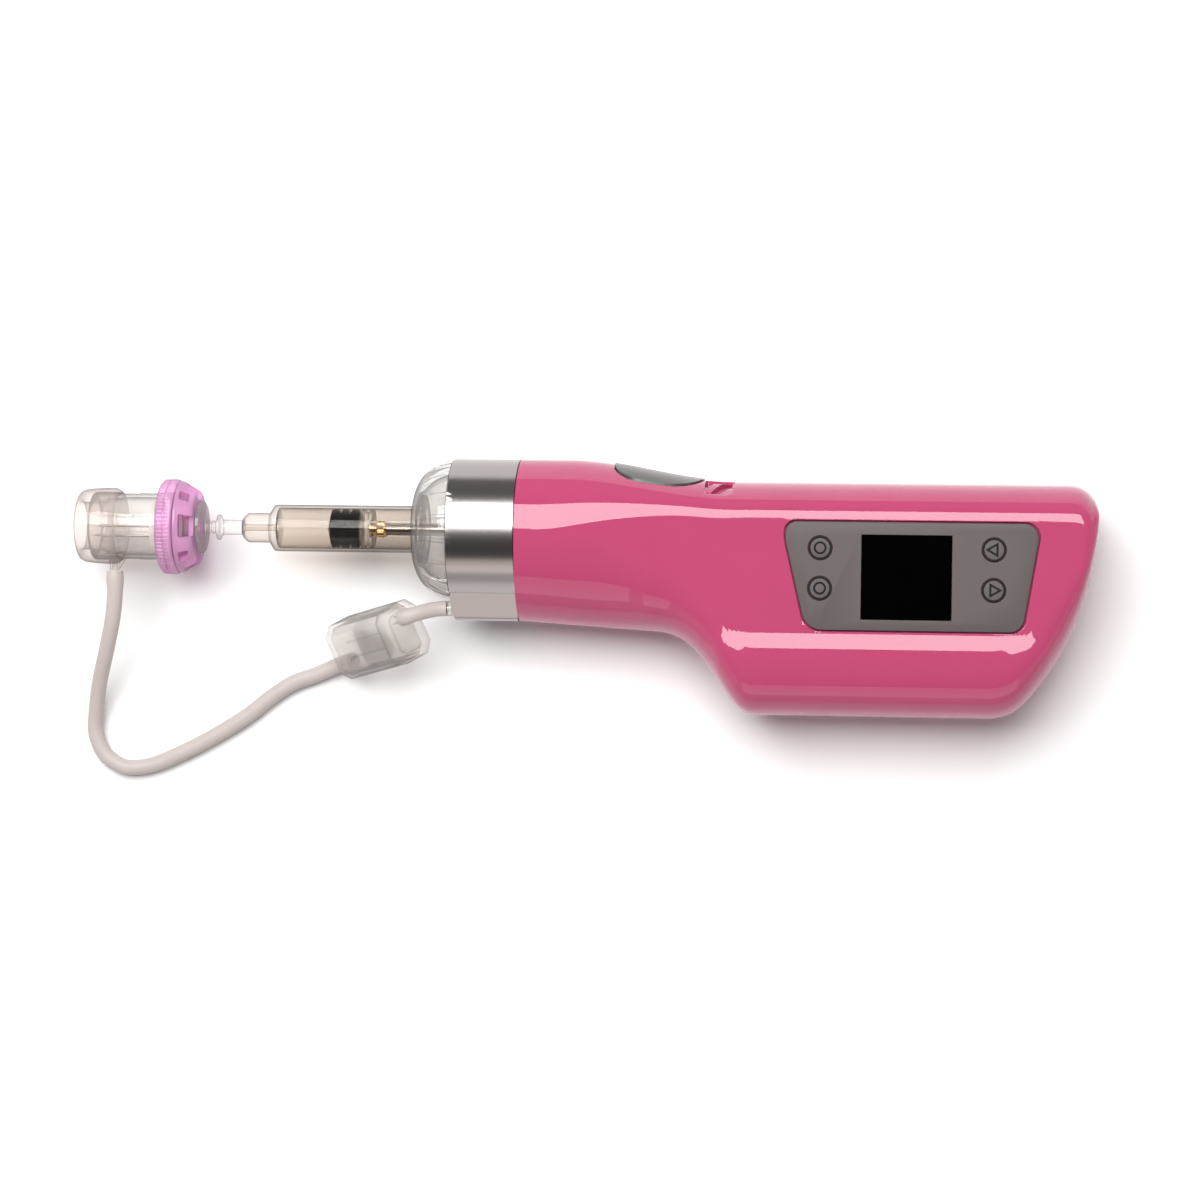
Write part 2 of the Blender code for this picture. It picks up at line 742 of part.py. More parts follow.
def drive(paints):
    front_x, rear_x = SHELL_FRONT + 1.6, BEARING_X
    plate_r = NOSE_R - WALL - 1.6
    beam_y = AXIS_Y - 13.4
    thick, half_width = 2.8, 4.5
    low = (front_x, beam_y, AXIS_Z - half_width)
    high = (rear_x + 4, beam_y + thick, AXIS_Z + half_width)
    frame = box("drive_frame", low, high, paints["white"])
    low, high = (rear_x, beam_y + 1.4, AXIS_Z - 4), (rear_x + 4, AXIS_Y - 5, AXIS_Z + 4)
    join(
        frame,
        rod("frame_front_plate", on_axis(front_x), on_axis(front_x + 3), plate_r - 1.5, paints["white"]),
        rod("frame_rear_plate", on_axis(rear_x), on_axis(rear_x + 4), BEARING_R + 3, paints["white"]),
        box("frame_rear_post", low, high, paints["white"]),
    )
    bush_r = ROD_R + RUNNING + 1.4
    guide_y = AXIS_Y - 8.3
    guide_r = 1.2
    guide_start, guide_end = (front_x + 1, guide_y, AXIS_Z), (rear_x + 3, guide_y, AXIS_Z)
    cut(
        frame,
        rod("bush_seat", on_axis(front_x - 1), on_axis(front_x + 4), bush_r + GAP, paints["white"]),
        rod("bearing_seat", on_axis(rear_x - 1), on_axis(rear_x + 5), BEARING_R + GAP, paints["white"]),
        rod("guide_seat", guide_start, guide_end, guide_r + GAP, paints["white"], 16),
    )
    end_gap = Vector((GAP, 0.0, 0.0))
    start, end = Vector(guide_start) + end_gap, Vector(guide_end) - end_gap
    rod("guide_rod", start, end, guide_r, paints["steel"], 16)
    ring("rod_bush", front_x, front_x + 3, bush_r, ROD_R + RUNNING, paints["brass"], 24)

    back = CARRIAGE_FRONT + CARRIAGE_LENGTH
    nut_x = back - 6.0
    carriage = turned(
        "carriage",
        [(CARRIAGE_FRONT, CARRIAGE_R), (back, CARRIAGE_R)],
        [(CARRIAGE_FRONT, ROD_R + GAP), (CARRIAGE_FRONT + 3.0, ROD_R + GAP)]
        + [(CARRIAGE_FRONT + 3.1, SCREW_R + 1.2), (nut_x, SCREW_R + 1.2), (nut_x + 0.1, SCREW_R + RUNNING)]
        + [(back, SCREW_R + RUNNING)],
        paints["white"],
        sides=24,
    )
    low = (nut_x - 2, guide_y - 2.2, AXIS_Z - 2.4)
    high = (back - 1, AXIS_Y - CARRIAGE_R + 1, AXIS_Z + 2.4)
    join(carriage, box("carriage_lug", low, high, paints["white"]))
    start, end = (nut_x - 3, guide_y, AXIS_Z), (back, guide_y, AXIS_Z)
    cut(carriage, rod("lug_bore", start, end, guide_r + RUNNING, paints["white"], 16))

    shaft_end = GEARBOX_X + 3.0
    turned(
        "lead_screw",
        [(SCREW_TIP, 0.0), (SCREW_TIP, SCREW_R - 0.5), (SCREW_TIP + 0.6, SCREW_R)]
        + [(rear_x - 0.6, SCREW_R), (rear_x - 0.5, 2.2), (rear_x + 5.0, 2.2)]
        + [(rear_x + 5.1, 1.6), (shaft_end, 1.6), (shaft_end, 0.0)],
        [],
        paints["steel"],
        sides=24,
    )
    ring("screw_bearing", rear_x + GAP, rear_x + 4, BEARING_R, 2.2 + RUNNING, paints["steel"], 24)
    start, end = on_axis(GEARBOX_X), on_axis(GEARBOX_X + GEARBOX_LENGTH)
    gearbox = rod("drive_gearbox", start, end, MOTOR_R, paints["steel"])
    start, end = on_axis(GEARBOX_X - 1), on_axis(shaft_end + 1)
    cut(gearbox, rod("shaft_socket", start, end, 1.6 + RUNNING, paints["steel"], 20))
    motor_end = MOTOR_X + MOTOR_LENGTH
    turned(
        "drive_motor",
        [(MOTOR_X, 0.0), (MOTOR_X, MOTOR_R), (motor_end - 1.5, MOTOR_R), (motor_end, MOTOR_R - 1.5)]
        + [(motor_end, 3.0), (motor_end + 1.5, 3.0), (motor_end + 1.5, 0.0)],
        [],
        paints["steel"],
        sides=24,
    )


# The housing.


def panel_outline(grow=0.0):
    left, right = PANEL_LEFT - grow, PANEL_RIGHT + grow
    top, bottom = PANEL_TOP + grow, PANEL_BOTTOM - grow
    return rounded_outline(
        [
            (left, top, 3.6),
            (right, top, 4.4),
            (right - 7.9, bottom, 2.0),
            (left + 6.2, bottom, 4.0),
            (left + 0.2, top - 6.0, 8.0),
        ]
    )


def button_outline(grow=0.0):
    """The thumb button's plan, a rounded rectangle with bowed sides."""
    length, width = BUTTON_LENGTH / 2 + grow, BUTTON_WIDTH / 2 + grow
    found = []
    for i in range(28):
        t = 2 * math.pi * i / 28
        c, s = math.cos(t), math.sin(t)
        found.append(
            (length * math.copysign(abs(c) ** 0.66, c), width * math.copysign(abs(s) ** 0.66, s))
        )
    return found


def button_column(name, grow, paint, height=30.0):
    """An upright column of the button's plan that passes through the top of the housing."""
    stand = at(BUTTON_X, REAR_TOP + 2.0, AXIS_Z) @ Matrix.Rotation(-BUTTON_SLOPE, 4, "Z")
    return plate(name, button_outline(grow), height, paint, stand @ Matrix.Rotation(math.pi / 2, 4, "X"))


def half_space(name, above):
    """A block that keeps one side of the middle plane, less half of the parting gap."""
    z0, z1 = (AXIS_Z + GAP / 2, AXIS_Z + 60) if above else (AXIS_Z - 60, AXIS_Z - GAP / 2)
    return box(name, (SHELL_FRONT - 30, -80, z0), (TAIL + 20, 90, z1), MATERIALS["pink"])


CASE_SCREWS = (
    (SHELL_FRONT + 15.0, AXIS_Y + 14.6),
    (SHELL_FRONT + 16.0, AXIS_Y - 17.0),
    (SHELL_FRONT + 70.0, BASE + 8.0),
    (TAIL - 27.0, BASE + 10.0),
)


def bosses(shell, above, paint):
    """Screw bosses, trimmed to end inside the wall."""
    for i, (x, y) in enumerate(CASE_SCREWS):
        side = 1 if above else -1
        name = f"boss_{'front' if above else 'back'}_{i + 1}"
        far = AXIS_Z + side * (NOSE_R + 2)
        boss = rod(name, (x, y, AXIS_Z + side * GAP / 2), (x, y, far), 3.2, paint, 16)
        trim = housing(name + "_trim", WALL / 2)
        finish(trim, paint)
        boolean(boss, trim, "INTERSECT")
        join(shell, boss)


def screw_holes(shell, above, paint):
    for i, (x, y) in enumerate(CASE_SCREWS):
        head = back_surface(x, y) + 2.6
        if above:
            cut(shell, rod(f"screw_pilot_{i + 1}", (x, y, AXIS_Z - 1), (x, y, AXIS_Z + 8), 1.5, paint, 12))
        else:
            cut(
                shell,
                rod(f"screw_way_{i + 1}", (x, y, -5), (x, y, AXIS_Z + 1), 1.5, paint, 12),
                rod(f"screw_sink_{i + 1}", (x, y, -5), (x, y, head + GAP), 2.7, paint, 16),
            )


def back_surface(x, y):
    """Height of the body's back face at a point."""
    outline = section(x, 0.0, True)
    for (y0, d0), (y1, d1) in zip(outline, outline[1:]):
        if y1 <= y <= y0:
            return AXIS_Z - (d0 + (d1 - d0) * (y0 - y) / max(y0 - y1, 1e-9))
    return AXIS_Z


def shell(above, paint):
    side = "front" if above else "back"
    outer = finish(housing(f"shell_{side}", 0.0), paint)
    inner = finish(housing(f"shell_{side}_inside", WALL, 5.0), paint)
    cut(outer, inner)
    reach = NOSE_R - RING_WALL - GAP
    bore = reach - SPIGOT_WALL
    root = NOSE_R - WALL / 2
    start, end = SHELL_FRONT - SPIGOT_LENGTH, SHELL_FRONT + 2.0
    spigot = turned(
        f"spigot_{side}",
        [(start, reach), (SHELL_FRONT + 0.6, reach), (SHELL_FRONT + 0.61, root), (end, root)],
        [(start, bore), (end, bore)],
        paint,
        sides=28,
    )
    join(outer, spigot)
    bosses(outer, above, paint)
    boolean(outer, half_space(f"half_{side}", above), "INTERSECT")
    screw_holes(outer, above, paint)
    cut(outer, button_column(f"button_way_{side}", 0.45, paint))
    return outer


def housing_parts(paints):
    front = shell(True, paints["pink"])
    rebate = at(0, 0, FACE_Z - PANEL_DEPTH / 2 + 5.0 - GAP / 2)
    cut(front, plate("panel_rebate", panel_outline(GAP), PANEL_DEPTH + GAP + 10.0, paints["pink"], rebate))
    window_low = (DISPLAY_X - DISPLAY_LENGTH / 2, DISPLAY_Y - DISPLAY_WIDTH / 2)
    window_high = (DISPLAY_X + DISPLAY_LENGTH / 2, DISPLAY_Y + DISPLAY_WIDTH / 2)
    wide = 1.5
    cut(
        front,
        box(
            "display_opening",
            (window_low[0] - wide, window_low[1] - wide, FACE_Z - 8),
            (window_high[0] + wide, window_high[1] + wide, FACE_Z + 2),
            paints["pink"],
        ),
    )
    strap_pocket(front, paints["pink"])
    back = shell(False, paints["pink"])
    socket = charge_socket_place()
    cut(back, rod("socket_way", socket, (TAIL + 5, socket[1], socket[2]), 3.0 + GAP, paints["pink"], 20))

    seat = at(0, 0, FACE_Z - PANEL_DEPTH / 2)
    overlay = plate("control_panel", panel_outline(), PANEL_DEPTH, paints["grey"], seat)
    cut(
        overlay,
        box(
            "overlay_window",
            (window_low[0], window_low[1], FACE_Z - 8),
            (window_high[0], window_high[1], FACE_Z + 2),
            paints["grey"],
        ),
    )
    box(
        "display_window",
        (window_low[0] + GAP, window_low[1] + GAP, FACE_Z - 2.0),
        (window_high[0] - GAP, window_high[1] - GAP, FACE_Z - 0.1),
        paints["black"],
    )
    number = 0
    for x in KEY_COLUMNS:
        for y in KEY_ROWS:
            number += 1
            for target, radius, label in ((front, KEY_R + 0.9, "shell"), (overlay, KEY_R + 0.4, "panel")):
                low, high = (x, y, FACE_Z - 8), (x, y, FACE_Z + 2)
                cut(target, rod(f"key_way_{label}_{number}", low, high, radius, paints["grey"], 24))
            key = rod(f"key_{number}", (x, y, FACE_Z - 4.3), (x, y, FACE_Z), KEY_R, paints["grey"], 24)
            low, high = (x, y, FACE_Z - 4.3), (x, y, FACE_Z - 3.3)
            join(key, rod(f"key_flange_{number}", low, high, KEY_R + 1.6, paints["grey"], 24))


def strap_pocket(front, paint):
    """A pocket beside the button with a slanting bar to tie a strap to."""
    x0 = SHELL_FRONT + 55.6
    y1 = REAR_TOP + 3
    pocket = box("strap_hollow", (x0, REAR_TOP - 5.0, AXIS_Z + 3), (x0 + 8.0, y1, AXIS_Z + 13.0), paint)
    bar = box("strap_bar", (-1.1, -4.0, -8.0), (1.1, 2.2, 8.0), paint)
    bar.location = Vector((x0 + 4.2, REAR_TOP - 3.2, AXIS_Z + 8)) * MM
    bar.rotation_euler = (0.0, math.radians(-24), 0.0)
    cut(pocket, bar)
    cut(front, pocket)


def charge_socket_place():
    return (TAIL - 9.0, REAR_TOP - 11.0, AXIS_Z - 7.0)


def thumb_button(paints):
    """The metallic plate that follows the housing's crown, with a stem to its switch."""
    button = button_column("trigger_button", 0.0, paints["silver"])
    skin = finish(housing("button_skin", -BUTTON_PROUD), paints["silver"])
    boolean(button, skin, "INTERSECT")
    under = finish(housing("button_underside", WALL + 0.6), paints["silver"])
    cut(button, under)
    lean = Matrix.Rotation(-BUTTON_SLOPE, 3, "Z")
    crown = Vector((BUTTON_X, top_at(BUTTON_X), AXIS_Z))
    down = lean @ Vector((0.0, -1.0, 0.0))
    join(button, rod("button_stem", crown + down * 1.2, crown + down * 6.0, 2.4, paints["silver"], 20))

    seat = crown + down * (6.0 + BUTTON_TRAVEL + GAP)
    turn = Euler((0.0, 0.0, -BUTTON_SLOPE))
    switch = box("trigger_switch", (-3.0, -1.2, -3.0), (3.0, 0.0, 3.0), paints["black"])
    switch.location = (seat + down * 0.6) * MM
    switch.rotation_euler = turn
    board = box("trigger_board", (-8.0, -1.0, -7.0), (8.0, 0.0, 7.0), paints["green"])
    board.location = (seat + down * (1.2 + GAP + 0.5)) * MM
    board.rotation_euler = turn


# Electronics, cell and pump.


def electronics(paints):
    top = BOARD_TOP
    box(
        "main_board",
        (PANEL_LEFT + 2, PANEL_BOTTOM + 4, top - BOARD_THICKNESS),
        (PANEL_RIGHT - 6, PANEL_TOP - 2, top),
        paints["green"],
    )
    half_x, half_y = DISPLAY_LENGTH / 2 + 1.0, DISPLAY_WIDTH / 2 + 1.0
    box(
        "display_module",
        (DISPLAY_X - half_x, DISPLAY_Y - half_y, top + GAP),
        (DISPLAY_X + half_x, DISPLAY_Y + half_y, FACE_Z - 2.0 - GAP),
        paints["white"],
    )
    number = 0
    for x in KEY_COLUMNS:
        for y in KEY_ROWS:
            number += 1
            high = FACE_Z - 4.3 - KEY_TRAVEL - GAP
            corner = (x - 2.6, y - 2.6, top + GAP)
            box(f"key_switch_{number}", corner, (x + 2.6, y + 2.6, high), paints["black"])
    cell_z = AXIS_Z - 9.8
    turned(
        "battery_cell",
        [(CELL_X, 0.0), (CELL_X, 3.5), (CELL_X + 1.2, 3.5), (CELL_X + 1.2, CELL_R)]
        + [(CELL_X + CELL_LENGTH, CELL_R), (CELL_X + CELL_LENGTH, 0.0)],
        [],
        paints["cell"],
        centre=(0.0, BASE + 18.6, cell_z),
        sides=32,
    )
    x, y, z = charge_socket_place()
    turned(
        "charge_socket",
        [(x, 3.0), (TAIL - 0.8, 3.0)],
        [(x, 1.4), (TAIL - 0.8, 1.4)],
        paints["black"],
        centre=(0.0, y, z),
        sides=20,
    )
    for i, (sx, sy) in enumerate(CASE_SCREWS):
        head = back_surface(sx, sy) + 2.6
        low, high = (sx, sy, head - 1.8), (sx, sy, head)
        screw = rod(f"case_screw_{i + 1}", low, high, 2.3, paints["steel"], 16)
        low, high = (sx, sy, head - 0.5), (sx, sy, AXIS_Z + 7)
        join(screw, rod(f"screw_shank_{i + 1}", low, high, 1.2, paints["steel"], 12))


def vacuum(paints):
    pump_y, pump_z = BASE + 17.4, AXIS_Z + 8.0
    head_end = PUMP_X + 18.0
    deep = PUMP_R - 1.4
    low, high = (PUMP_X, pump_y - PUMP_R, pump_z - deep), (head_end, pump_y + PUMP_R, pump_z + deep)
    box("pump_head", low, high, paints["black"], 1.0)
    turned(
        "pump_motor",
        [(head_end + GAP, 0.0), (head_end + GAP, PUMP_R - 1.2), (head_end + 26, PUMP_R - 1.2)]
        + [(head_end + 26, 0.0)],
        [],
        paints["steel"],
        centre=(0.0, pump_y, pump_z),
        sides=24,
    )
    start = RING_FRONT + 9.0 + GAP
    route = [(start, PORT_Y, PORT_Z), (start + 1, PORT_Y, PORT_Z), (start + 2, PORT_Y, PORT_Z)]
    route += [(SHELL_FRONT, PORT_Y + 0.9, AXIS_Z), (SHELL_FRONT + 18, PORT_Y + 0.4, AXIS_Z + 0.5)]
    route += [(SHELL_FRONT + 38, PORT_Y + 0.3, AXIS_Z + 2), (SHELL_FRONT + 53, PORT_Y - 3.2, AXIS_Z + 4.5)]
    route += [(PUMP_X - 8, pump_y + 3, pump_z - 1), (PUMP_X - 3, pump_y, pump_z)]
    route.append((PUMP_X - GAP, pump_y, pump_z))
    tube("vacuum_tube", route, 1.5, paints["frosted"])


# Hoses and filter, which hang on the ports.

FILTER_CENTRE = (-62.0, -17.0, 16.8)
FILTER_TURN = Euler((math.radians(12.4), math.radians(-40), math.radians(15)))
FILTER_PORT = 4.2  # how far each hose sits from the box's middle line

HOSE_1 = (
    (-142.4, 2.7, 21.6),
    (-142.3, -3.4, 21.4),
    (-143.3, -11.4, 19.8),
    (-146.2, -21.5, 15.4),
    (-149.7, -31.5, 9.4),
    (-151.9, -41.3, 4.6),
    (-152.2, -47.6, 3.0),
    (-149.6, -53.7, 2.6),
    (-145.0, -57.1, 2.6),
    (-140.8, -58.0, 2.6),
    (-134.5, -57.1, 2.6),
    (-127.3, -54.2, 2.6),
    (-118.9, -50.0, 2.6),
    (-110.8, -45.3, 2.6),
    (-103.6, -40.5, 2.6),
    (-97.7, -35.7, 2.6),
    (-90.6, -31.0, 2.6),
    (-83.6, -28.4, 2.6),
)


def local_to_filter(x, y, z):
    spot = FILTER_TURN.to_matrix() @ Vector((x, y, z))
    return Vector(FILTER_CENTRE) + spot


def octagon(half_width, half_depth, corner):
    flat_w, flat_d = half_width - corner, half_depth - corner
    found = []
    for sx, sy in ((1, 1), (-1, 1), (-1, -1), (1, -1)):
        pair = [(sx * half_width, sy * flat_d), (sx * flat_w, sy * half_depth)]
        found += pair if sx * sy > 0 else pair[::-1]
    return found


def filter_box(paints):
    """A chamfered clear box with a lid at the gun's end and a membrane across its middle."""
    stand = bpy.data.objects.new("filter_frame", None)
    parts.objects.link(stand)
    stand.location = Vector(FILTER_CENTRE) * MM
    stand.rotation_euler = FILTER_TURN
    bpy.context.view_layer.update()
    along = Matrix.Rotation(math.pi / 2, 4, "Y")
    half = FILTER_LENGTH / 2
    half_w, half_d = FILTER_DEPTH / 2, FILTER_WIDTH / 2
    body_length = FILTER_LENGTH - LID_LENGTH - GAP
    middle = -half + body_length / 2

    def piece(name, size, length, x, paint, corner=FILTER_CORNER):
        outline = octagon(size[0], size[1], corner)
        return plate(name, outline, length, paint, stand.matrix_world @ at(x, 0, 0) @ along)

    body = piece("filter_body", (half_w, half_d), body_length, middle, paints["clear"])
    room = (half_w - FILTER_WALL, half_d - FILTER_WALL)
    cut(body, piece("filter_room", room, body_length, middle + FILTER_WALL, paints["clear"]))
    lid_x = half - LID_LENGTH / 2
    lid = piece("filter_lid", (half_w, half_d), LID_LENGTH, lid_x, paints["clear"])
    piece("filter_membrane", (room[0] - GAP, room[1] - GAP), 1.0, -2.0, paints["white"], 2.6)
    for name, target, x, y in (
        ("lid_bore", lid, half, FILTER_PORT),
        ("inlet_bore", body, -half, -FILTER_PORT),
    ):
        low, high = local_to_filter(x - 5, y, 0), local_to_filter(x + 5, y, 0)
        cut(target, rod(name, low, high, 1.2, paints["clear"], 16))


def hoses(paints):
    half = FILTER_LENGTH / 2
    inlet = local_to_filter(-half - GAP, -FILTER_PORT, 0.0)
    straight = [local_to_filter(-half - d, -FILTER_PORT, 0.0) for d in (6.0, 3.8, 2.0)]
    tube("hose_1", [*HOSE_1, *straight, inlet], HOSE_R, paints["frosted"], 2, 3)
    outlet = local_to_filter(half + GAP, FILTER_PORT, 0.0)
    leaving = local_to_filter(half + GAP + BEND, FILTER_PORT, 0.0)
    port = Vector((RING_FRONT - 1.6 - GAP, PORT_Y, PORT_Z))
    arriving = port - Vector((BEND, 0.0, 0.0))
    route = [
        outlet * (1 - t) ** 3 + leaving * 3 * t * (1 - t) ** 2 + arriving * 3 * t * t * (1 - t) + port * t**3
        for t in (i / 12 for i in range(13))
    ]
    tube("hose_2", route, HOSE_R - 0.2, paints["frosted"], 1, 3)


clear_scene()
parts, cutters = make_collections()
MATERIALS = make_materials()

needle_head(MATERIALS)
syringe(MATERIALS)
nose(MATERIALS)
drive(MATERIALS)
housing_parts(MATERIALS)
thumb_button(MATERIALS)
electronics(MATERIALS)
vacuum(MATERIALS)
filter_box(MATERIALS)
hoses(MATERIALS)
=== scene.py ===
"""The looks of a cordless vacuum injection gun, lying on its back with its display up.

Sizes are millimetres and become metres where a shape is made. -X is the needle end and
+Y the thumb button's side. The plunger's axis runs along X, at AXIS_Y and AXIS_Z.
"""

import math

import bmesh
import bpy
from mathutils import Euler, Matrix, Vector


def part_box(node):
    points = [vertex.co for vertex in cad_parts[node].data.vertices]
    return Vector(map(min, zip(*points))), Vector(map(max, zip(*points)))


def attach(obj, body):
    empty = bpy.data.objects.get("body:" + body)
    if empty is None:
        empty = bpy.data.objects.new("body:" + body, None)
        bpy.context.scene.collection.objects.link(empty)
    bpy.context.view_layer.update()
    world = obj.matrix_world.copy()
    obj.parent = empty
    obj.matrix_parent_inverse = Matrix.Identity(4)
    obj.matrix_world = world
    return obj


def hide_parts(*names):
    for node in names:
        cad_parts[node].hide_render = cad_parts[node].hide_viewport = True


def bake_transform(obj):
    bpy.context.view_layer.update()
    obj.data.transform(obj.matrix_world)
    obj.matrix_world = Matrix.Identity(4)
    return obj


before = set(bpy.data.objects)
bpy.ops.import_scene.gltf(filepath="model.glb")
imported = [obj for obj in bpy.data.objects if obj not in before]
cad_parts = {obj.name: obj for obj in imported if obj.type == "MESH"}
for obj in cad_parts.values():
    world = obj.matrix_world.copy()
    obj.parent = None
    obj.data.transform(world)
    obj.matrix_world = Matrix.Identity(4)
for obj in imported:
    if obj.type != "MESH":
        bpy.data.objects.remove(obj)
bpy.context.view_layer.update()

MM = 0.001
GAP = 0.3  # clearance between pieces
AXIS_Y = 16.4
AXIS_Z = 21.6

# The body's outline.
NOSE_R = 21.4
SHELL_FRONT = -17.8
TAIL = 153.3
REAR_TOP = 31.7
BASE = -37.8
KEEL_BOTTOM = -10.8
REAR_HALF_DEPTH = 20.0
LOBE_RISE = 0.8
LOBE_STEP = -13.1  # where the face starts to rise to the lobe, and how wide the slope is
LOBE_STEP_WIDTH = 4.5
WALL = 2.0
FRONT_WALL = 1.5  # closes the body beside the keel
TUBE_Y = -6.4  # where the vacuum tube goes through it
TUBE_R = 1.5
SPIGOT_LENGTH = 7.0  # the part that the nose ring sits on
SPIGOT_WALL = 1.4
SEAT_GAP = 0.45  # round the panel and the button
MOULDED_EDGE = 0.22
FACE_Z = AXIS_Z + REAR_HALF_DEPTH

# The nose.
RING_FRONT = -38.1
RING_WALL = 2.4
CAP_LENGTH = 12.3
CAP_SKIRT = 5.0
CAP_RIBS = 18
KEEL_HALF_WIDTH = 8.0
PORT_Y = -7.3
PORT_Z = 24.1

# The display face.
PANEL_LEFT = 62.0
PANEL_RIGHT = 136.7
PANEL_TOP = 19.8
PANEL_BOTTOM = -12.0
DISPLAY = (97.6, 3.65)
DISPLAY_LENGTH = 26.5
DISPLAY_WIDTH = 24.9
KEY_R = 3.5
KEY_COLUMNS = (72.4, 122.9)
KEY_ROWS = (0.25, 12.05)
KEYS = [(x, y) for x in KEY_COLUMNS for y in KEY_ROWS]
KEY_FLANGE = 1.6
OVERLAY_DEPTH = 1.2
DISPLAY_PROUD = 0.2  # how far the glass and the keys stand above the face

# The thumb button.
BUTTON_X = 23.5
BUTTON_LENGTH = 27.0
BUTTON_WIDTH = 28.6
BUTTON_SLOPE = math.radians(10.5)
BUTTON_PROUD = 0.5

# The syringe and the needle head.
BARREL_R = 7.05
BARREL_WALL = 0.9
FLANGE_R = 10.5
BARREL_BACK = -46.9
SHOULDER_X = -92.9
COLLAR_LENGTH = 8.4
STOPPER_X = -75.5
STOPPER_LENGTH = 8.8
HEAD_FRONT = -153.3
HEAD_R = 10.05
CUP_R = 11.4
CUP_LENGTH = 12.8
PORT_X = -142.4
DIAL_FRONT = -127.4
DIAL_R = 14.4
DIAL_LENGTH = 5.2
REAR_CAP_LENGTH = 5.4
DIAL_RIDGES = 72
DIAL_BACK = DIAL_FRONT + DIAL_LENGTH
REAR_CAP_BACK = DIAL_BACK + GAP + REAR_CAP_LENGTH

# The case screws.
SCREW_HEAD_R = 2.25
SCREW_HEAD_DEPTH = 1.8

# The filter box and its hoses.
HOSE_R = 2.5
BEND = 4.8  # how firmly the short hose keeps the direction of its two ports
FILTER_LENGTH = 28.0
FILTER_WIDTH = 17.8
FILTER_DEPTH = 15.0
FILTER_CORNER = 3.0
FILTER_WALL = 1.2
LID_LENGTH = 4.0
FILTER_PORT = 4.2
FILTER_PLACE = Matrix.Translation(Vector((-62.0, -17.0, 16.8))) @ (
    Euler((math.radians(12.4), math.radians(-40), math.radians(15))).to_matrix().to_4x4()
)
HOSE_ROUTE = (
    (-142.4, 2.7, 21.6),
    (-142.3, -3.4, 21.4),
    (-143.3, -11.4, 19.8),
    (-146.2, -21.5, 15.4),
    (-149.7, -31.5, 9.4),
    (-151.9, -41.3, 4.6),
    (-152.2, -47.6, 3.0),
    (-149.6, -53.7, 2.6),
    (-145.0, -57.1, 2.6),
    (-140.8, -58.0, 2.6),
    (-134.5, -57.1, 2.6),
    (-127.3, -54.2, 2.6),
    (-118.9, -50.0, 2.6),
    (-110.8, -45.3, 2.6),
    (-103.6, -40.5, 2.6),
    (-97.7, -35.7, 2.6),
    (-90.6, -31.0, 2.6),
    (-83.6, -28.4, 2.6),
)


# Materials.


def colour(code):
    """An sRGB hex colour, made linear."""
    parts = [int(code[i : i + 2], 16) / 255 for i in (0, 2, 4)]
    return [*(c / 12.92 if c <= 0.04045 else ((c + 0.055) / 1.055) ** 2.4 for c in parts), 1.0]


def add(tree, kind, inputs, **settings):
    """Adds a shader node. inputs maps each socket to a value or to an output."""
    made = tree.nodes.new("ShaderNode" + kind)
    for key, value in settings.items():
        setattr(made, key, value)
    for key, value in inputs.items():
        if isinstance(value, bpy.types.NodeSocket):
            tree.links.new(value, made.inputs[key])
        else:
            made.inputs[key].default_value = value
    return made


def sums(tree, operation, *values):
    return add(tree, "Math", dict(enumerate(values)), operation=operation).outputs[0]


def mixed(tree, factor, start, end):
    """A colour that goes from start to end, both hex codes, as factor goes from 0 to 1."""
    inputs = {0: factor, 6: colour(start), 7: colour(end)}
    return add(tree, "Mix", inputs, data_type="RGBA").outputs[2]


def new_material(name):
    """An empty material, its node tree, and the place on the object."""
    made = bpy.data.materials.new(name)
    made.use_nodes = True
    made.node_tree.nodes.clear()
    place = add(made.node_tree, "TexCoord", {})
    return made, made.node_tree, place.outputs["Object"]


def finish(name, light, dark, patch, rough, relief, stretch=(1, 1, 1), **shader):
    """A surface whose colour, gloss and height drift over patches of this size in mm."""
    made, tree, place = new_material(name)
    spread = add(tree, "Mapping", {"Vector": place, "Scale": stretch}).outputs[0]
    noise = {"Vector": spread, "Scale": 1000 / patch, "Detail": 3.0, "Roughness": 0.55}
    drift = add(tree, "TexNoise", noise).outputs["Fac"]
    gloss = add(tree, "MapRange", {"Value": drift, "To Min": rough[0], "To Max": rough[1]})
    bump = add(tree, "Bump", {"Height": drift, "Strength": 1.0, "Distance": relief * MM})
    inputs = {
        "Base Color": mixed(tree, drift, dark, light),
        "Roughness": gloss.outputs[0],
        "Normal": bump.outputs[0],
        **{key.replace("_", " "): value for key, value in shader.items()},
    }
    surface = add(tree, "BsdfPrincipled", inputs)
    add(tree, "OutputMaterial", {"Surface": surface.outputs[0]})
    return made


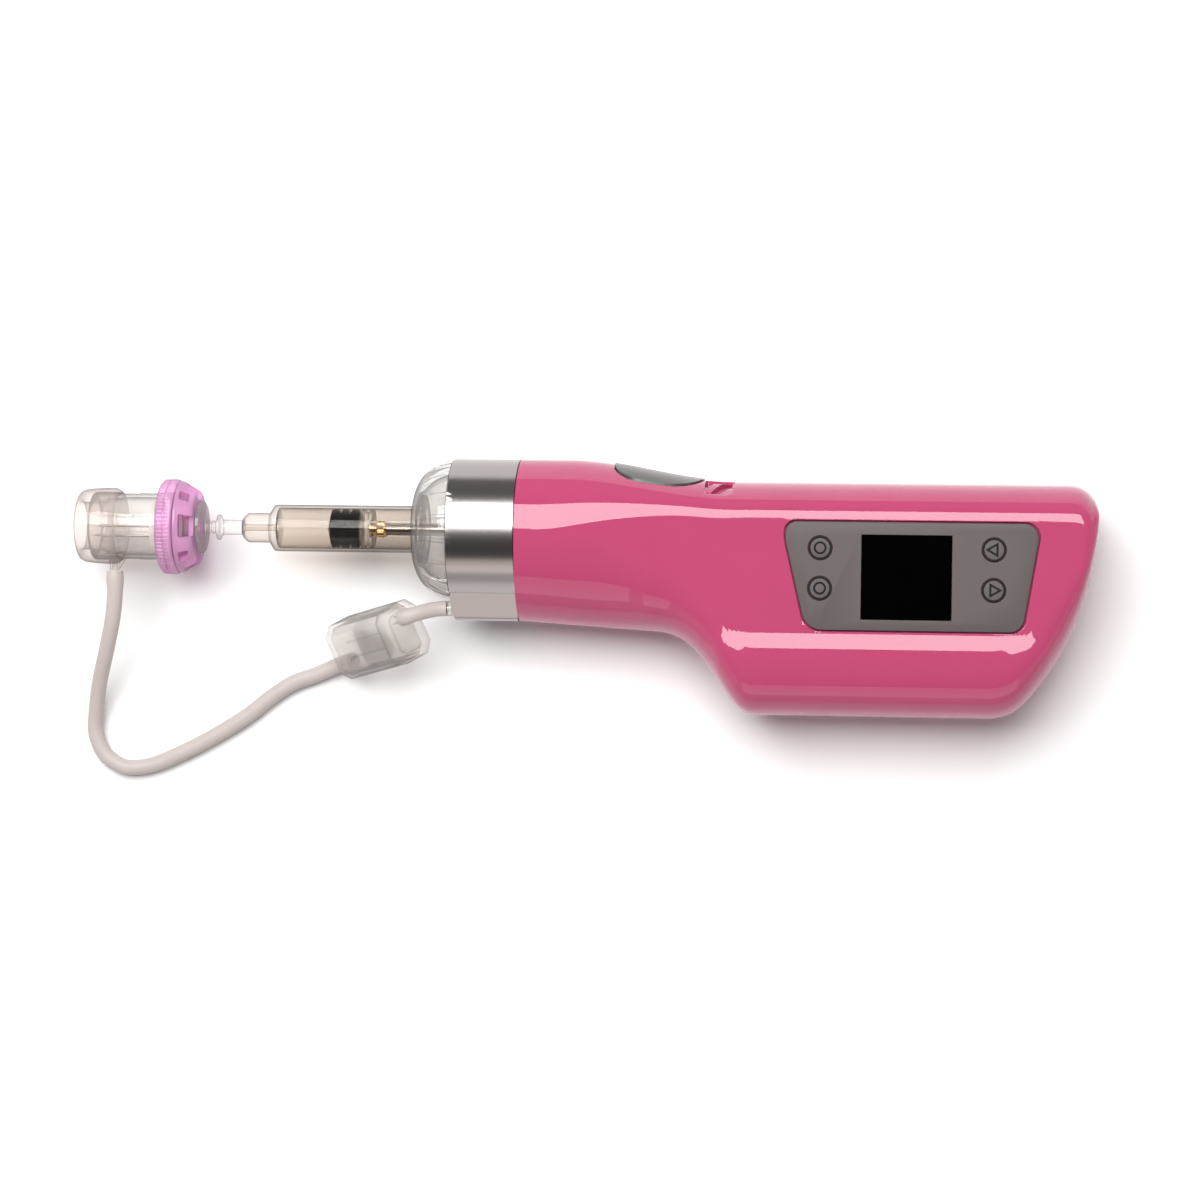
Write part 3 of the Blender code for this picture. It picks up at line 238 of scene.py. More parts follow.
def clear_finish(name, tint, edge, body, milk, gloss, mirror=0.04, patch=5, relief=0.003):
    """A see-through wall: it tints what is behind it, more so where it is seen edge on.

    milk is how much of its own body colour it shows, gloss the roughness of its skin, and
    mirror how much it reflects head on.
    """
    made, tree, place = new_material(name)
    noise = {"Vector": place, "Scale": 1000 / patch, "Detail": 2.0}
    drift = add(tree, "TexNoise", noise).outputs["Fac"]
    bump = add(tree, "Bump", {"Height": drift, "Distance": relief * MM}).outputs[0]
    facing = add(tree, "LayerWeight", {"Blend": 0.5}).outputs["Facing"]
    depth = mixed(tree, sums(tree, "POWER", facing, 2.8), tint, edge)
    through = add(tree, "BsdfTransparent", {"Color": depth}).outputs[0]
    sheen = add(tree, "BsdfGlossy", {"Roughness": gloss, "Normal": bump}).outputs[0]
    shine = sums(tree, "MULTIPLY_ADD", sums(tree, "POWER", facing, 5.0), 0.2, mirror)
    wall = add(tree, "MixShader", {0: shine, 1: through, 2: sheen}).outputs[0]
    tone = mixed(tree, drift, body, tint)
    solid = add(tree, "BsdfPrincipled", {"Base Color": tone, "Roughness": 0.4, "Normal": bump})
    both = add(tree, "MixShader", {0: milk, 1: wall, 2: solid.outputs[0]})
    add(tree, "OutputMaterial", {"Surface": both.outputs[0]})
    return made


# Moulded ABS under a clear lacquer: the pigment is matt and even, the lacquer mirror-like.
pink_abs = finish(
    "lacquered_pink_abs", "ad4468", "a84064", 14, (0.5, 0.55), 0.001,
    IOR=1.5, Specular_IOR_Level=0.0, Coat_Weight=1.0, Coat_Roughness=0.03, Coat_IOR=1.5,
)
# Turned and fine-blasted aluminium, anodised: a soft bright streak along it.
anodised = finish(
    "satin_anodised_aluminium", "a8a3a1", "9c9694", 0.5, (0.2, 0.25), 0.002,
    stretch=(6, 1, 1), Metallic=1.0,
)
# Injected polycarbonate, polished in the mould: water clear with a faint warm grey.
polycarbonate = clear_finish(
    "clear_polycarbonate", "fffefd", "4a413b", "ddd3cc", 0.09, 0.04
)
# Polypropylene of a syringe: milkier, so what is inside is a little veiled.
polypropylene = clear_finish(
    "syringe_polypropylene", "f3efeb", "4a413b", "b0a49c", 0.01, 0.05, mirror=0.015
)
# Extruded silicone rubber: milky, with a soft sheen.
silicone = finish(
    "milky_silicone", "b9b0ac", "b1a8a3", 3, (0.35, 0.42), 0.006, IOR=1.41, Specular_IOR_Level=0.3,
)
# The cup's softer silicone, thin enough to see the head through.
thin_silicone = clear_finish(
    "thin_clear_silicone", "f8f4f2", "6d635e", "c8beb9", 0.15, 0.1, mirror=0.02
)
# Tinted polycarbonate: pink where thin, purple where two walls stack up.
purple_polycarbonate = clear_finish(
    "purple_polycarbonate", "fad9f2", "6a2066", "e9a6dc", 0.34, 0.05
)
# Butyl rubber, moulded and siliconised: near black with a wet sheen.
stopper_rubber = finish(
    "black_butyl_rubber", "070606", "040404", 1.2, (0.15, 0.2), 0.004, IOR=1.5,
    Specular_IOR_Level=0.06,
)
# Turned brass.
brass = finish(
    "turned_brass", "d9c08c", "c4a870", 0.4, (0.15, 0.25), 0.002,
    stretch=(8, 1, 1), Metallic=1.0,
)
# Centreless-ground stainless steel, with fine marks round it.
steel = finish(
    "ground_stainless_steel", "8f8983", "7d7771", 0.4, (0.16, 0.24), 0.002,
    stretch=(8, 1, 1), Metallic=1.0,
)
# Painted ABS with metal flake: a flat grey that catches light like dull silver.
button_paint = finish(
    "metallic_grey_paint", "4d4b49", "454341", 0.35, (0.3, 0.36), 0.003,
    Metallic=0.2, Coat_Weight=0.3, Coat_Roughness=0.15,
)
# Matt printed polyester film.
panel_film = finish(
    "grey_polyester_film", "5b5353", "554d4d", 0.6, (0.45, 0.52), 0.004, IOR=1.45,
    Specular_IOR_Level=0.25,
)
# Screen ink of the key symbols.
ink = finish(
    "dark_screen_ink", "0a0909", "060505", 0.5, (0.5, 0.6), 0.001, IOR=1.45, Specular_IOR_Level=0.2,
)
# Hard-coated glass over an unlit display.
display_glass = finish(
    "black_display_glass", "020202", "010101", 8, (0.05, 0.07), 0.0005, IOR=1.45,
    Specular_IOR_Level=0.06,
)
# Turned acetal: waxy white.
acetal = finish("white_acetal", "dfdcd5", "d5d1c9", 2, (0.35, 0.45), 0.005, IOR=1.48)
# Solder mask over woven glass board.
board_mask = finish("green_solder_mask", "1d5a32", "174a29", 0.8, (0.3, 0.4), 0.01, IOR=1.5)
# Shrunk sleeve of a lithium cell.
cell_sleeve = finish("blue_shrink_sleeve", "274b8f", "213f7a", 3, (0.2, 0.3), 0.01, IOR=1.5)
# Black glass-filled nylon.
black_nylon = finish("black_nylon", "1b1a1a", "131212", 0.6, (0.4, 0.5), 0.008, IOR=1.5)
# A thin woven screen, so fine that it only greys what is behind it.
membrane = clear_finish("fine_nylon_screen", "ffffff", "f4f0ee", "e6dfda", 0.01, 0.5, mirror=0.01)
# The table.
table_paint = finish("matt_white_table", "f0f0f0", "ececec", 300, (0.6, 0.7), 0.01, IOR=1.4)


# Shapes.


def piece(obj, body, slot, *nodes):
    """Puts a piece on the body that carries it, and hides the CAD pieces that it stands for. slot
    is not used.
    """
    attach(obj, body)
    if nodes:
        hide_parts(*nodes)


def plan_of(name):
    """The middle of a CAD piece's box in plan, and its lowest and highest point, in mm."""
    low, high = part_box(name)
    middle = [(low[i] + high[i]) / 2 / MM for i in (0, 1)]
    return *middle, low[2] / MM, high[2] / MM


def object_from(name, made, paint, crease=38):
    """Ends a mesh that was made in millimetres."""
    bmesh.ops.scale(made, vec=(MM, MM, MM), verts=made.verts)
    bmesh.ops.recalc_face_normals(made, faces=made.faces)
    mesh = bpy.data.meshes.new(name)
    made.to_mesh(mesh)
    made.free()
    if paint:
        mesh.materials.append(paint)
    mesh.shade_smooth()
    mesh.set_sharp_from_angle(angle=math.radians(crease))
    obj = bpy.data.objects.new(name, mesh)
    bpy.context.scene.collection.objects.link(obj)
    return obj


def stood(place, angle, axis):
    """Puts a shape at a place, after a turn about X, Y or Z."""
    return Matrix.Translation(place) @ Matrix.Rotation(angle, 4, axis)


def from_x(x, *points):
    """Outline points given as (distance along X from x, radius)."""
    return [(x + along, radius) for along, radius in points]


def skin(made, rows):
    """Joins closed rows of points, each to the next, with four-sided faces."""
    for here, there in zip(rows, rows[1:]):
        for i in range(len(here)):
            j = (i + 1) % len(here)
            made.faces.new((here[i], here[j], there[j], there[i]))


def eased(points, radius, closed, steps=3):
    """The same outline with each corner drawn as a small curve."""
    points = [Vector(p) for p in points]
    last = len(points) - 1
    found = []
    for i, here in enumerate(points):
        if radius <= 0 or (not closed and i in (0, last)):
            found.append(here)
            continue
        before, after = points[i - 1] - here, points[(i + 1) % (last + 1)] - here
        reach = min(radius, 0.4 * before.length, 0.4 * after.length)
        start, end = here + before.normalized() * reach, here + after.normalized() * reach
        for k in range(steps + 1):
            t = k / steps
            found.append(start * (1 - t) ** 2 + here * 2 * t * (1 - t) + end * t * t)
    return found


def turned(name, outline, paint, centre=(0.0, AXIS_Y, AXIS_Z), soft=0.25, sides=96,
           upright=False, ripple=None):
    """Turns an outline of (along, radius) points about an axis along X, or along Z."""
    closed = outline[0][1] > 0
    made = bmesh.new()
    rings = []
    for along, radius in eased(outline, soft, closed):
        if radius < 1e-6:
            rings.append([made.verts.new((along, 0.0, 0.0))])
            continue
        row = []
        for k in range(sides):
            angle = 2 * math.pi * k / sides
            reach = radius + (ripple(along, radius, angle) if ripple else 0.0)
            spot = (along, reach * math.cos(angle), reach * math.sin(angle))
            row.append(made.verts.new(spot))
        rings.append(row)
    pairs = list(zip(rings, rings[1:]))
    if closed:
        pairs.append((rings[-1], rings[0]))
    for here, there in pairs:
        for k in range(sides):
            n = (k + 1) % sides
            corners = [here[k % len(here)], here[n % len(here)]]
            corners += [there[n % len(there)], there[k % len(there)]]
            unique = list(dict.fromkeys(corners))
            if len(unique) > 2:
                made.faces.new(unique)
    stand = stood(centre, -math.pi / 2 if upright else 0.0, "Y")
    bmesh.ops.transform(made, matrix=stand, verts=made.verts)
    return object_from(name, made, paint)


def rounded(corners, steps=8):
    """Corners given as (x, y, radius), each turned into an arc."""
    found = []
    count = len(corners)
    for i, (x, y, radius) in enumerate(corners):
        here = Vector((x, y))
        before = (Vector(corners[i - 1][:2]) - here).normalized()
        after = (Vector(corners[(i + 1) % count][:2]) - here).normalized()
        half = before.angle(after) / 2
        centre = here + (before + after).normalized() * radius / math.sin(half)
        start = here + before * radius / math.tan(half) - centre
        end = here + after * radius / math.tan(half) - centre
        turn = start.angle_signed(end)
        for k in range(steps + 1):
            spun = start.copy()
            spun.rotate(Matrix.Rotation(-turn * k / steps, 2))
            found.append(centre + spun)
    return found


def drawn_in(outline, depth):
    """An outline moved inwards by depth."""
    points = [Vector(p) for p in outline]
    area = sum(a.x * b.y - a.y * b.x for a, b in zip(points, points[1:] + points[:1]))
    side = 1 if area > 0 else -1
    found = []
    for i, here in enumerate(points):
        along = points[(i + 1) % len(points)] - points[i - 1]
        across = Vector((-along.y, along.x)).normalized() * side
        found.append(here + across * depth)
    return found


def plate(name, outline, low, high, paint, soft=0.0, place=None, both=False, crease=15):
    """A flat outline made solid between two heights, with its upper edge eased."""
    levels = [(0.0, low), (0.0, high - soft)]
    if both:
        levels = [(soft, low), (0.3 * soft, low + 0.3 * soft), (0.0, low + soft)]
        levels.append((0.0, high - soft))
    if soft:
        levels += [(0.3 * soft, high - 0.3 * soft), (soft, high)]
    made = bmesh.new()
    rows = []
    for depth, height in levels:
        rows.append([made.verts.new((p[0], p[1], height)) for p in drawn_in(outline, depth)])
    skin(made, rows)
    made.faces.new(rows[0][::-1])
    made.faces.new(rows[-1])
    if place:
        bmesh.ops.transform(made, matrix=place, verts=made.verts)
    return object_from(name, made, paint, crease)


def block(name, low, high, paint=None, soft=0.0):
    corners = [(low[0], low[1]), (high[0], low[1]), (high[0], high[1]), (low[0], high[1])]
    if soft:
        corners = rounded([(x, y, soft) for x, y in corners], 4)
    return plate(name, corners, low[2], high[2], paint, soft * 0.6, both=bool(soft))


def bar(name, start, end, radius, sides=32):
    """A round cutter between two points."""
    start, end = Vector(start), Vector(end)
    made = bmesh.new()
    bmesh.ops.create_cone(
        made, cap_ends=True, segments=sides, radius1=radius, radius2=radius,
        depth=(end - start).length,
    )
    turn = (end - start).to_track_quat("Z", "Y").to_matrix().to_4x4()
    place = Matrix.Translation((start + end) / 2) @ turn
    bmesh.ops.transform(made, matrix=place, verts=made.verts)
    return object_from(name, made, None)


def bore_along(name, start, end, radius, sides, y=AXIS_Y, z=AXIS_Z):
    """A round cutter along X."""
    return bar(name, (start, y, z), (end, y, z), radius, sides)


def shape_with(target, operation, *tools):
    """Cuts, joins or keeps what is common, and puts the tools away."""
    for tool in tools:
        step = target.modifiers.new(tool.name, "BOOLEAN")
        step.operation = operation
        step.object = tool
        step.solver = "EXACT"
    settle(target)
    for tool in tools:
        bpy.data.objects.remove(tool, do_unlink=True)
    return target


def settle(obj, crease=38):
    """Turns an object's modifiers into plain mesh. With no crease its shading stays as it is."""
    graph = bpy.context.evaluated_depsgraph_get()
    mesh = bpy.data.meshes.new_from_object(obj.evaluated_get(graph))
    obj.modifiers.clear()
    obj.data = mesh
    if crease:
        mesh.shade_smooth()
        mesh.set_sharp_from_angle(angle=math.radians(crease))


def cut(target, *tools):
    return shape_with(target, "DIFFERENCE", *tools)


def join(target, *tools):
    return shape_with(target, "UNION", *tools)


def common(target, *tools):
    return shape_with(target, "INTERSECT", *tools)


def broken_edges(obj, width, angle=35):
    """Takes the sharpness off the edges, as moulding or deburring does."""
    step = obj.modifiers.new("edges", "BEVEL")
    step.width = width * MM
    step.segments = 2
    step.limit_method = "ANGLE"
    step.angle_limit = math.radians(angle)
    settle(obj)
    level = obj.modifiers.new("flats", "WEIGHTED_NORMAL")
    level.keep_sharp = True
    settle(obj, None)


def smooth(x, low, high):
    """0 below low, 1 above high, an S between them."""
    t = min(max((x - low) / (high - low), 0.0), 1.0)
    return t * t * (3.0 - 2.0 * t)


def bezier(points, count=60):
    found = []
    for i in range(count + 1):
        t = i / count
        weights = ((1 - t) ** 3, 3 * t * (1 - t) ** 2, 3 * t * t * (1 - t), t**3)
        x = sum(w * p[0] for w, p in zip(weights, points))
        y = sum(w * p[1] for w, p in zip(weights, points))
        found.append((x, y))
    return found


def curve_through(points, steps):
    """A Catmull-Rom curve through the given points."""
    points = [Vector(p) for p in points]
    ends = [2 * points[0] - points[1]] + points + [2 * points[-1] - points[-2]]
    found = []
    for a, b, c, d in zip(ends, ends[1:], ends[2:], ends[3:]):
        for k in range(steps):
            t = k / steps
            spot = 2 * b + (c - a) * t + (2 * a - 5 * b + 4 * c - d) * t * t
            found.append(0.5 * (spot + (3 * b - a - 3 * c + d) * t**3))
    found.append(points[-1])
    return found


def hose(name, route, radius_at, paint, bore=1.3, sides=28):
    """A hollow tube along a route. radius_at gives its outside at each distance in mm."""
    travelled = [0.0]
    for a, b in zip(route, route[1:]):
        travelled.append(travelled[-1] + (b - a).length)
    made = bmesh.new()
    rings, insides = [], []
    across = None
    for i, here in enumerate(route):
        along = (route[min(i + 1, len(route) - 1)] - route[max(i - 1, 0)]).normalized()
        across = along.orthogonal() if across is None else across - along * across.dot(along)
        across.normalize()
        other = along.cross(across)
        for rows, reach in ((rings, radius_at(travelled[i], travelled[-1])), (insides, bore)):
            row = []
            for k in range(sides):
                angle = 2 * math.pi * k / sides
                offset = across * math.cos(angle) + other * math.sin(angle)
                row.append(made.verts.new(here + offset * reach))
            rows.append(row)
    for rows in (rings, insides, (rings[0], insides[0]), (rings[-1], insides[-1])):
        skin(made, rows)
    return object_from(name, made, paint, 60), travelled[-1]


# The camera, and the room.


def set_camera():
    """Straight above, leaning 5.6 degrees towards the tail."""
    lean, roll = math.radians(5.6), math.radians(0.8)
    target = Vector((6.05, -4.1, AXIS_Z)) * MM
    away = Vector((math.sin(lean), 0.0, math.cos(lean)))
    level = Vector((math.cos(lean), 0.0, -math.sin(lean)))
    north = Vector((0.0, 1.0, 0.0))
    right = level * math.cos(roll) + north * math.sin(roll)
    up = north * math.cos(roll) - level * math.sin(roll)
    camera = bpy.data.objects.new("camera", bpy.data.cameras.new("camera"))
    bpy.context.scene.collection.objects.link(camera)
    turn = Matrix((right, up, away)).transposed().to_4x4()
    camera.matrix_world = Matrix.Translation(target + away) @ turn
    camera.data.angle = 2 * math.atan(0.18)
    camera.data.clip_end = 20.0
    bpy.context.scene.camera = camera


def softbox(name, towards, distance, size, power, tint="ffffff"):
    """A rectangular light that faces the gun. towards is a direction, size (along, across) in m."""
    light = bpy.data.lights.new(name, "AREA")
    light.shape = "RECTANGLE"
    light.size, light.size_y = size
    light.energy = power
    light.color = colour(tint)[:3]
    lamp = bpy.data.objects.new(name, light)
    bpy.context.scene.collection.objects.link(lamp)
    middle = Vector((0.0, 0.0, AXIS_Z * MM))
    back = Vector(towards).normalized()
    side = Vector((1.0, 0.0, 0.0))
    side = (side - back * side.dot(back)).normalized()
    turn = Matrix((side, back.cross(side), back)).transposed().to_4x4()
    lamp.matrix_world = Matrix.Translation(middle + back * distance) @ turn


def set_room():
    """A long softbox above, a low fill, and a room that is dark overhead and pale round it."""
    room = bpy.data.worlds.new("studio")
    room.use_nodes = True
    tree = room.node_tree
    direction = add(tree, "TexCoord", {})
    split = add(tree, "SeparateXYZ", {0: direction.outputs["Generated"]})
    fade = {0: split.outputs[2], 1: 0.3, 2: 0.68, 3: 0.7, 4: 0.08}
    overhead = add(tree, "MapRange", fade, interpolation_type="SMOOTHSTEP")
    behind = add(tree, "MapRange", {0: split.outputs[1], 1: -0.1, 2: 0.6, 3: 1.0, 4: 0.3})
    level = sums(tree, "MULTIPLY", overhead.outputs[0], behind.outputs[0])
    backdrop = tree.nodes["Background"]
    backdrop.inputs["Color"].default_value = colour("fffafa")
    tree.links.new(level, backdrop.inputs["Strength"])
    bpy.context.scene.world = room
    bpy.context.scene.view_settings.view_transform = "Standard"
    lean = math.radians(23)
    softbox("long_softbox", (-0.11, math.sin(lean), math.cos(lean)), 1.6, (1.5, 1.1), 45.0)
    softbox("low_fill", (0.1, -0.9, 0.5), 1.8, (2.0, 0.8), 4.5, "fff4f2")
    made = bmesh.new()
    bmesh.ops.create_grid(made, x_segments=2, y_segments=2, size=3000.0)
    floor = object_from("table_top", made, table_paint)


# The pink housing.


def base_outline():
    """The lower outline of the body seen from the display side, front to back."""
    front = (SHELL_FRONT, KEEL_BOTTOM)
    neck = (SHELL_FRONT + 41.8, KEEL_BOTTOM - 2.7)
    lobe = (SHELL_FRONT + 70.8, BASE)
    heel = (TAIL - 32.3, BASE)
    slope = (TAIL - 18.3, BASE + 7.3)
    tip = (TAIL, REAR_TOP - 12.7)
    line = [front]
    line += bezier([neck, (neck[0] + 16, neck[1] - 1.3), (lobe[0] - 10, BASE), lobe])
    line += bezier([heel, (heel[0] + 7, BASE), (slope[0] - 3.5, slope[1] - 4.5), slope])
    line += bezier([slope, (slope[0] + 7, slope[1] + 8.5), (TAIL - 1.3, slope[1] + 24.5), tip])[1:]
    return line


BASE_LINE = base_outline()


def base_at(x):
    for (x0, y0), (x1, y1) in zip(BASE_LINE, BASE_LINE[1:]):
        if x <= x1:
            return y0 + (y1 - y0) * max(x - x0, 0.0) / max(x1 - x0, 1e-9)
    return BASE_LINE[-1][1]


def top_at(x):
    """The upper outline: a drop behind the nose, and a rounded tail corner."""
    nose = AXIS_Y + NOSE_R
    top = nose + (REAR_TOP - nose) * smooth(x, SHELL_FRONT + 14.8, SHELL_FRONT + 62.8)
    u = min(max((x - TAIL + 8.3) / 8.3, 0.0), 1.0)
    return top - 7.5 * (1.0 - math.sqrt(1.0 - u * u))


def section(x, inset, back):
    """Half of the body's outline at x, from its top edge to its bottom edge, as (y, depth)."""
    top, bottom = top_at(x), base_at(x)
    roundness = smooth(x, SHELL_FRONT + 5.8, SHELL_FRONT + 55.8)
    span = 0.45 * (top - bottom)
    upper = min(NOSE_R + (11.0 - NOSE_R) * roundness, span)
    lobe = smooth(x, SHELL_FRONT + 22.8, SHELL_FRONT + 69.8)
    lower_y = AXIS_Y + (BASE + 20.3 - AXIS_Y) * lobe
    lower_y = max(lower_y, bottom + min(20.3, span))
    upper_y = top - upper
    lower_y = min(lower_y, upper_y)
    depth = NOSE_R + ((AXIS_Z if back else REAR_HALF_DEPTH) - NOSE_R) * roundness
    rise = 0.0 if back else LOBE_RISE * smooth(x, SHELL_FRONT + 58.3, SHELL_FRONT + 60.3)
    rise *= 1.0 - smooth(x, TAIL - 14.2, TAIL - 11.8)
    v = min(max((x - TAIL + 5.0) / 5.0, 0.0), 1.0)
    depth = depth - 5.0 * (1.0 - math.sqrt(1.0 - v * v)) - inset
    top, bottom = top - inset, bottom + inset

    def swell(y):
        return rise * min(max((LOBE_STEP - y) / LOBE_STEP_WIDTH, 0.0), 1.0)

    fullness = 2.0 / (2.0 + 0.6 * lobe)  # the lobe is fuller than an ellipse
    points = []
    for i in range(22):
        t = math.pi / 2 * i / 21
        points.append((upper_y + (top - upper_y) * math.cos(t), depth * math.sin(t)))
    for i in range(1, 40):
        f = i / 14 * 0.88 if i < 14 else 0.88 + (i - 14) / 26 * 0.12
        y = upper_y + (lower_y - upper_y) * f
        points.append((y, depth + swell(y)))
    for i in range(30):
        t = math.pi / 2 * i / 29
        y = lower_y + (bottom - lower_y) * math.sin(t) ** fullness
        points.append((y, (depth + swell(y)) * max(math.cos(t), 0.0) ** fullness))
    return points


def body_stations(coarse):
    """Where the sections are taken: closer together where the outline turns into the tail."""
    pitch = 5.0 if coarse else 1.25
    found = [SHELL_FRONT + pitch * i for i in range(int((TAIL - 9.0 - SHELL_FRONT) / pitch) + 1)]
    count = 6 if coarse else 20
    start = found[-1]
    for i in range(1, count + 1):
        found.append(start + (TAIL - 0.03 - start) * math.sin(math.pi / 2 * i / count))
    return found


def housing_solid(name, inset, coarse=False, front_wall=0.0):
    """The body as one closed solid, drawn in by inset, and at its front by front_wall."""
    made = bmesh.new()
    rows = []
    for x in body_stations(coarse):
        front, back = section(x, inset, False), section(x, inset, True)
        loop = [(y, d) for y, d in front] + [(y, -d) for y, d in reversed(back[1:-1])]
        place = x
        if x > TAIL - 40:
            place = TAIL - 40 + (x - TAIL + 40) * (40 - inset) / 40
        if x == SHELL_FRONT:
            place += front_wall
        rows.append([made.verts.new((place, y, AXIS_Z + d)) for y, d in loop])
    skin(made, rows)
    made.faces.new(reversed(rows[0]))
    made.faces.new(rows[-1])
    return object_from(name, made, pink_abs)


def panel_outline(grow=0.0):
    left, right = PANEL_LEFT - grow, PANEL_RIGHT + grow
    top, bottom = PANEL_TOP + grow, PANEL_BOTTOM - grow
    return rounded(
        [
            (left, top, 3.6),
            (right, top, 4.4),
            (right - 5.4, bottom, 4.5),
            (left + 6.4, bottom, 6.0),
            (left + 0.2, top - 6.0, 8.0),
        ]
    )


def button_outline(grow=0.0):
    """The thumb button's plan, a rounded rectangle with bowed sides."""
    length, width = BUTTON_LENGTH / 2 + grow, BUTTON_WIDTH / 2 + grow
    found = []
    for i in range(96):
        t = 2 * math.pi * i / 96
        c, s = math.cos(t), math.sin(t)
        x, y = abs(c) ** 0.66, abs(s) ** 0.66
        found.append((length * math.copysign(x, c), width * math.copysign(y, s)))
    return found


def button_column(name, grow, low=-15.0, high=15.0):
    """An upright column of the button's plan that passes through the top of the housing."""
    sloped = stood((BUTTON_X, REAR_TOP + 2.0, AXIS_Z), -BUTTON_SLOPE, "Z")
    upright = Matrix.Rotation(-math.pi / 2, 4, "X")
    return plate(name, button_outline(grow), low, high, None, place=sloped @ upright)


def housing_half(name, front):
    """One half of the shell: walls, the spigot that the nose ring sits on, and its openings."""
    shell = housing_solid(name, 0.0)
    reach = NOSE_R - RING_WALL - GAP
    bore = reach - SPIGOT_WALL
    root = NOSE_R - WALL / 2
    start, end = SHELL_FRONT - SPIGOT_LENGTH, SHELL_FRONT + 2.0
    before, behind = SHELL_FRONT - 2.0, SHELL_FRONT + 4.0
    cut(
        shell,
        housing_solid("inside", WALL, True, FRONT_WALL),
        bore_along("mouth", before, behind, reach - SPIGOT_WALL / 2, 96),
        bore_along("tube_way", before, behind, TUBE_R + GAP, 48, y=TUBE_Y),
    )
    outline = [(start, reach), *from_x(SHELL_FRONT, (0.6, reach), (0.61, root))]
    outline += [(end, root), (end, bore), (start, bore)]
    join(shell, turned("spigot", outline, None, soft=0.0))
    low, high = (AXIS_Z + GAP / 2, 80.0) if front else (-30.0, AXIS_Z - GAP / 2)
    common(shell, block("half", (SHELL_FRONT - 30, -80, low), (TAIL + 20, 90, high)))
    cut(shell, button_column("button_way", SEAT_GAP))
    return shell


def strap_pocket():
    """The cutter of a rounded hollow beside the button, with a slanting bar left across it."""
    start = SHELL_FRONT + 55.6
    low, high = (start, REAR_TOP - 4.2, AXIS_Z + 3), (start + 8.6, REAR_TOP + 3, AXIS_Z + 17)
    pocket = block("strap_pocket", low, high, None, 1.2)
    lean = stood((start + 4.2, REAR_TOP - 3.2, AXIS_Z + 8), math.radians(-24), "Y")
    square = [(-1.1, -4.0), (1.1, -4.0), (1.1, 2.2), (-1.1, 2.2)]
    cut(pocket, housing_solid("pocket_floor", 1.5, True))
    return cut(pocket, plate("strap_bar", square, -8.0, 8.0, None, place=lean))


def make_housing():
    front = housing_half("housing_front", True)
    deck = FACE_Z - OVERLAY_DEPTH - GAP
    cut(front, plate("panel_seat", panel_outline(SEAT_GAP), deck, FACE_Z + 8, None))
    cut(front, strap_pocket())
    broken_edges(front, MOULDED_EDGE, 50)
    piece(front, "housing", "pink", "shell_front")

    back = housing_half("housing_back", False)
    start, end = TAIL - 9.0, TAIL + 5.0
    y, z = REAR_TOP - 11.0, AXIS_Z - 7.0
    cut(back, bore_along("socket_way", start, end, 3.0 + GAP, 48, y, z))
    for number in range(1, 5):
        x, y, base, _ = plan_of(f"case_screw_{number}")
        head = base + SCREW_HEAD_DEPTH
        cut(back, bar("screw_sink", (x, y, -5), (x, y, head + GAP), 2.7, 48))
    broken_edges(back, MOULDED_EDGE, 50)
    piece(back, "housing", "pink", "shell_back")


def make_thumb_button():
    """A painted plate that follows the crown of the housing, with a bright chamfer round it."""
    button = button_column("thumb_button_cap", 0.0)
    button.data.materials.append(button_paint)
    common(button, housing_solid("skin", -BUTTON_PROUD))
    cut(button, housing_solid("underside", WALL + 0.6, True))
    broken_edges(button, 0.9, 40)
    piece(button, "trigger", "button", "trigger_button")


# The display face.


def make_panel():
    low, high = FACE_Z - OVERLAY_DEPTH, FACE_Z + 0.25
    overlay = plate("display_overlay", panel_outline(), low, high, panel_film, 0.5)
    half_x, half_y = DISPLAY_LENGTH / 2, DISPLAY_WIDTH / 2
    x, y = DISPLAY
    cut(overlay, block("window", (x - half_x, y - half_y, 0), (x + half_x, y + half_y, 60)))
    for place in KEYS:
        cut(overlay, bar("key_way", (*place, FACE_Z - 8), (*place, FACE_Z + 2), KEY_R + 0.18, 64))
    piece(overlay, "housing", "panel", "control_panel")

    glass = block(
        "display_glass",
        (x - half_x + GAP / 2, y - half_y + GAP / 2, FACE_Z - 2.0),
        (x + half_x - GAP / 2, y + half_y - GAP / 2, FACE_Z + DISPLAY_PROUD),
        display_glass,
        0.3,
    )
    piece(glass, "housing", "black", "display_window")

    for number, place in enumerate(KEYS, 1):
        make_key(number, *place)


def make_key(number, x, y):
    """A membrane key: a cap in a fine round gap, with a printed ring and its symbol."""
    top = FACE_Z + DISPLAY_PROUD
    flange = KEY_R + KEY_FLANGE
    outline = from_x(FACE_Z, (-4.3, 0), (-4.3, flange), (-3.3, flange), (-3.3, KEY_R))
    outline += [(top, KEY_R), (top, 0)]
    cap = turned(
        f"key_cap_{number}", outline, panel_film, (x, y, 0.0), soft=0.12, sides=72, upright=True
    )
    piece(cap, f"key_{number}", "panel", f"key_{number}")
    rim = printed_ring(f"key_ring_{number}", x, y, top, KEY_R - 0.06, KEY_R - 0.68)
    piece(rim, f"key_{number}", "black")
    if number <= 2:
        mark = printed_ring(f"key_mark_{number}", x, y, top, 1.9, 1.28)
    else:
        mark = printed_triangle(f"key_mark_{number}", x, y, top, -1 if number == 4 else 1)
    piece(mark, f"key_{number}", "black")


def printed_ring(name, x, y, top, outer, inner):
    line = [(top - 0.05, outer), (top + 0.03, outer), (top + 0.03, inner), (top - 0.05, inner)]
    return turned(name, line, ink, (x, y, 0.0), soft=0.0, sides=72, upright=True)


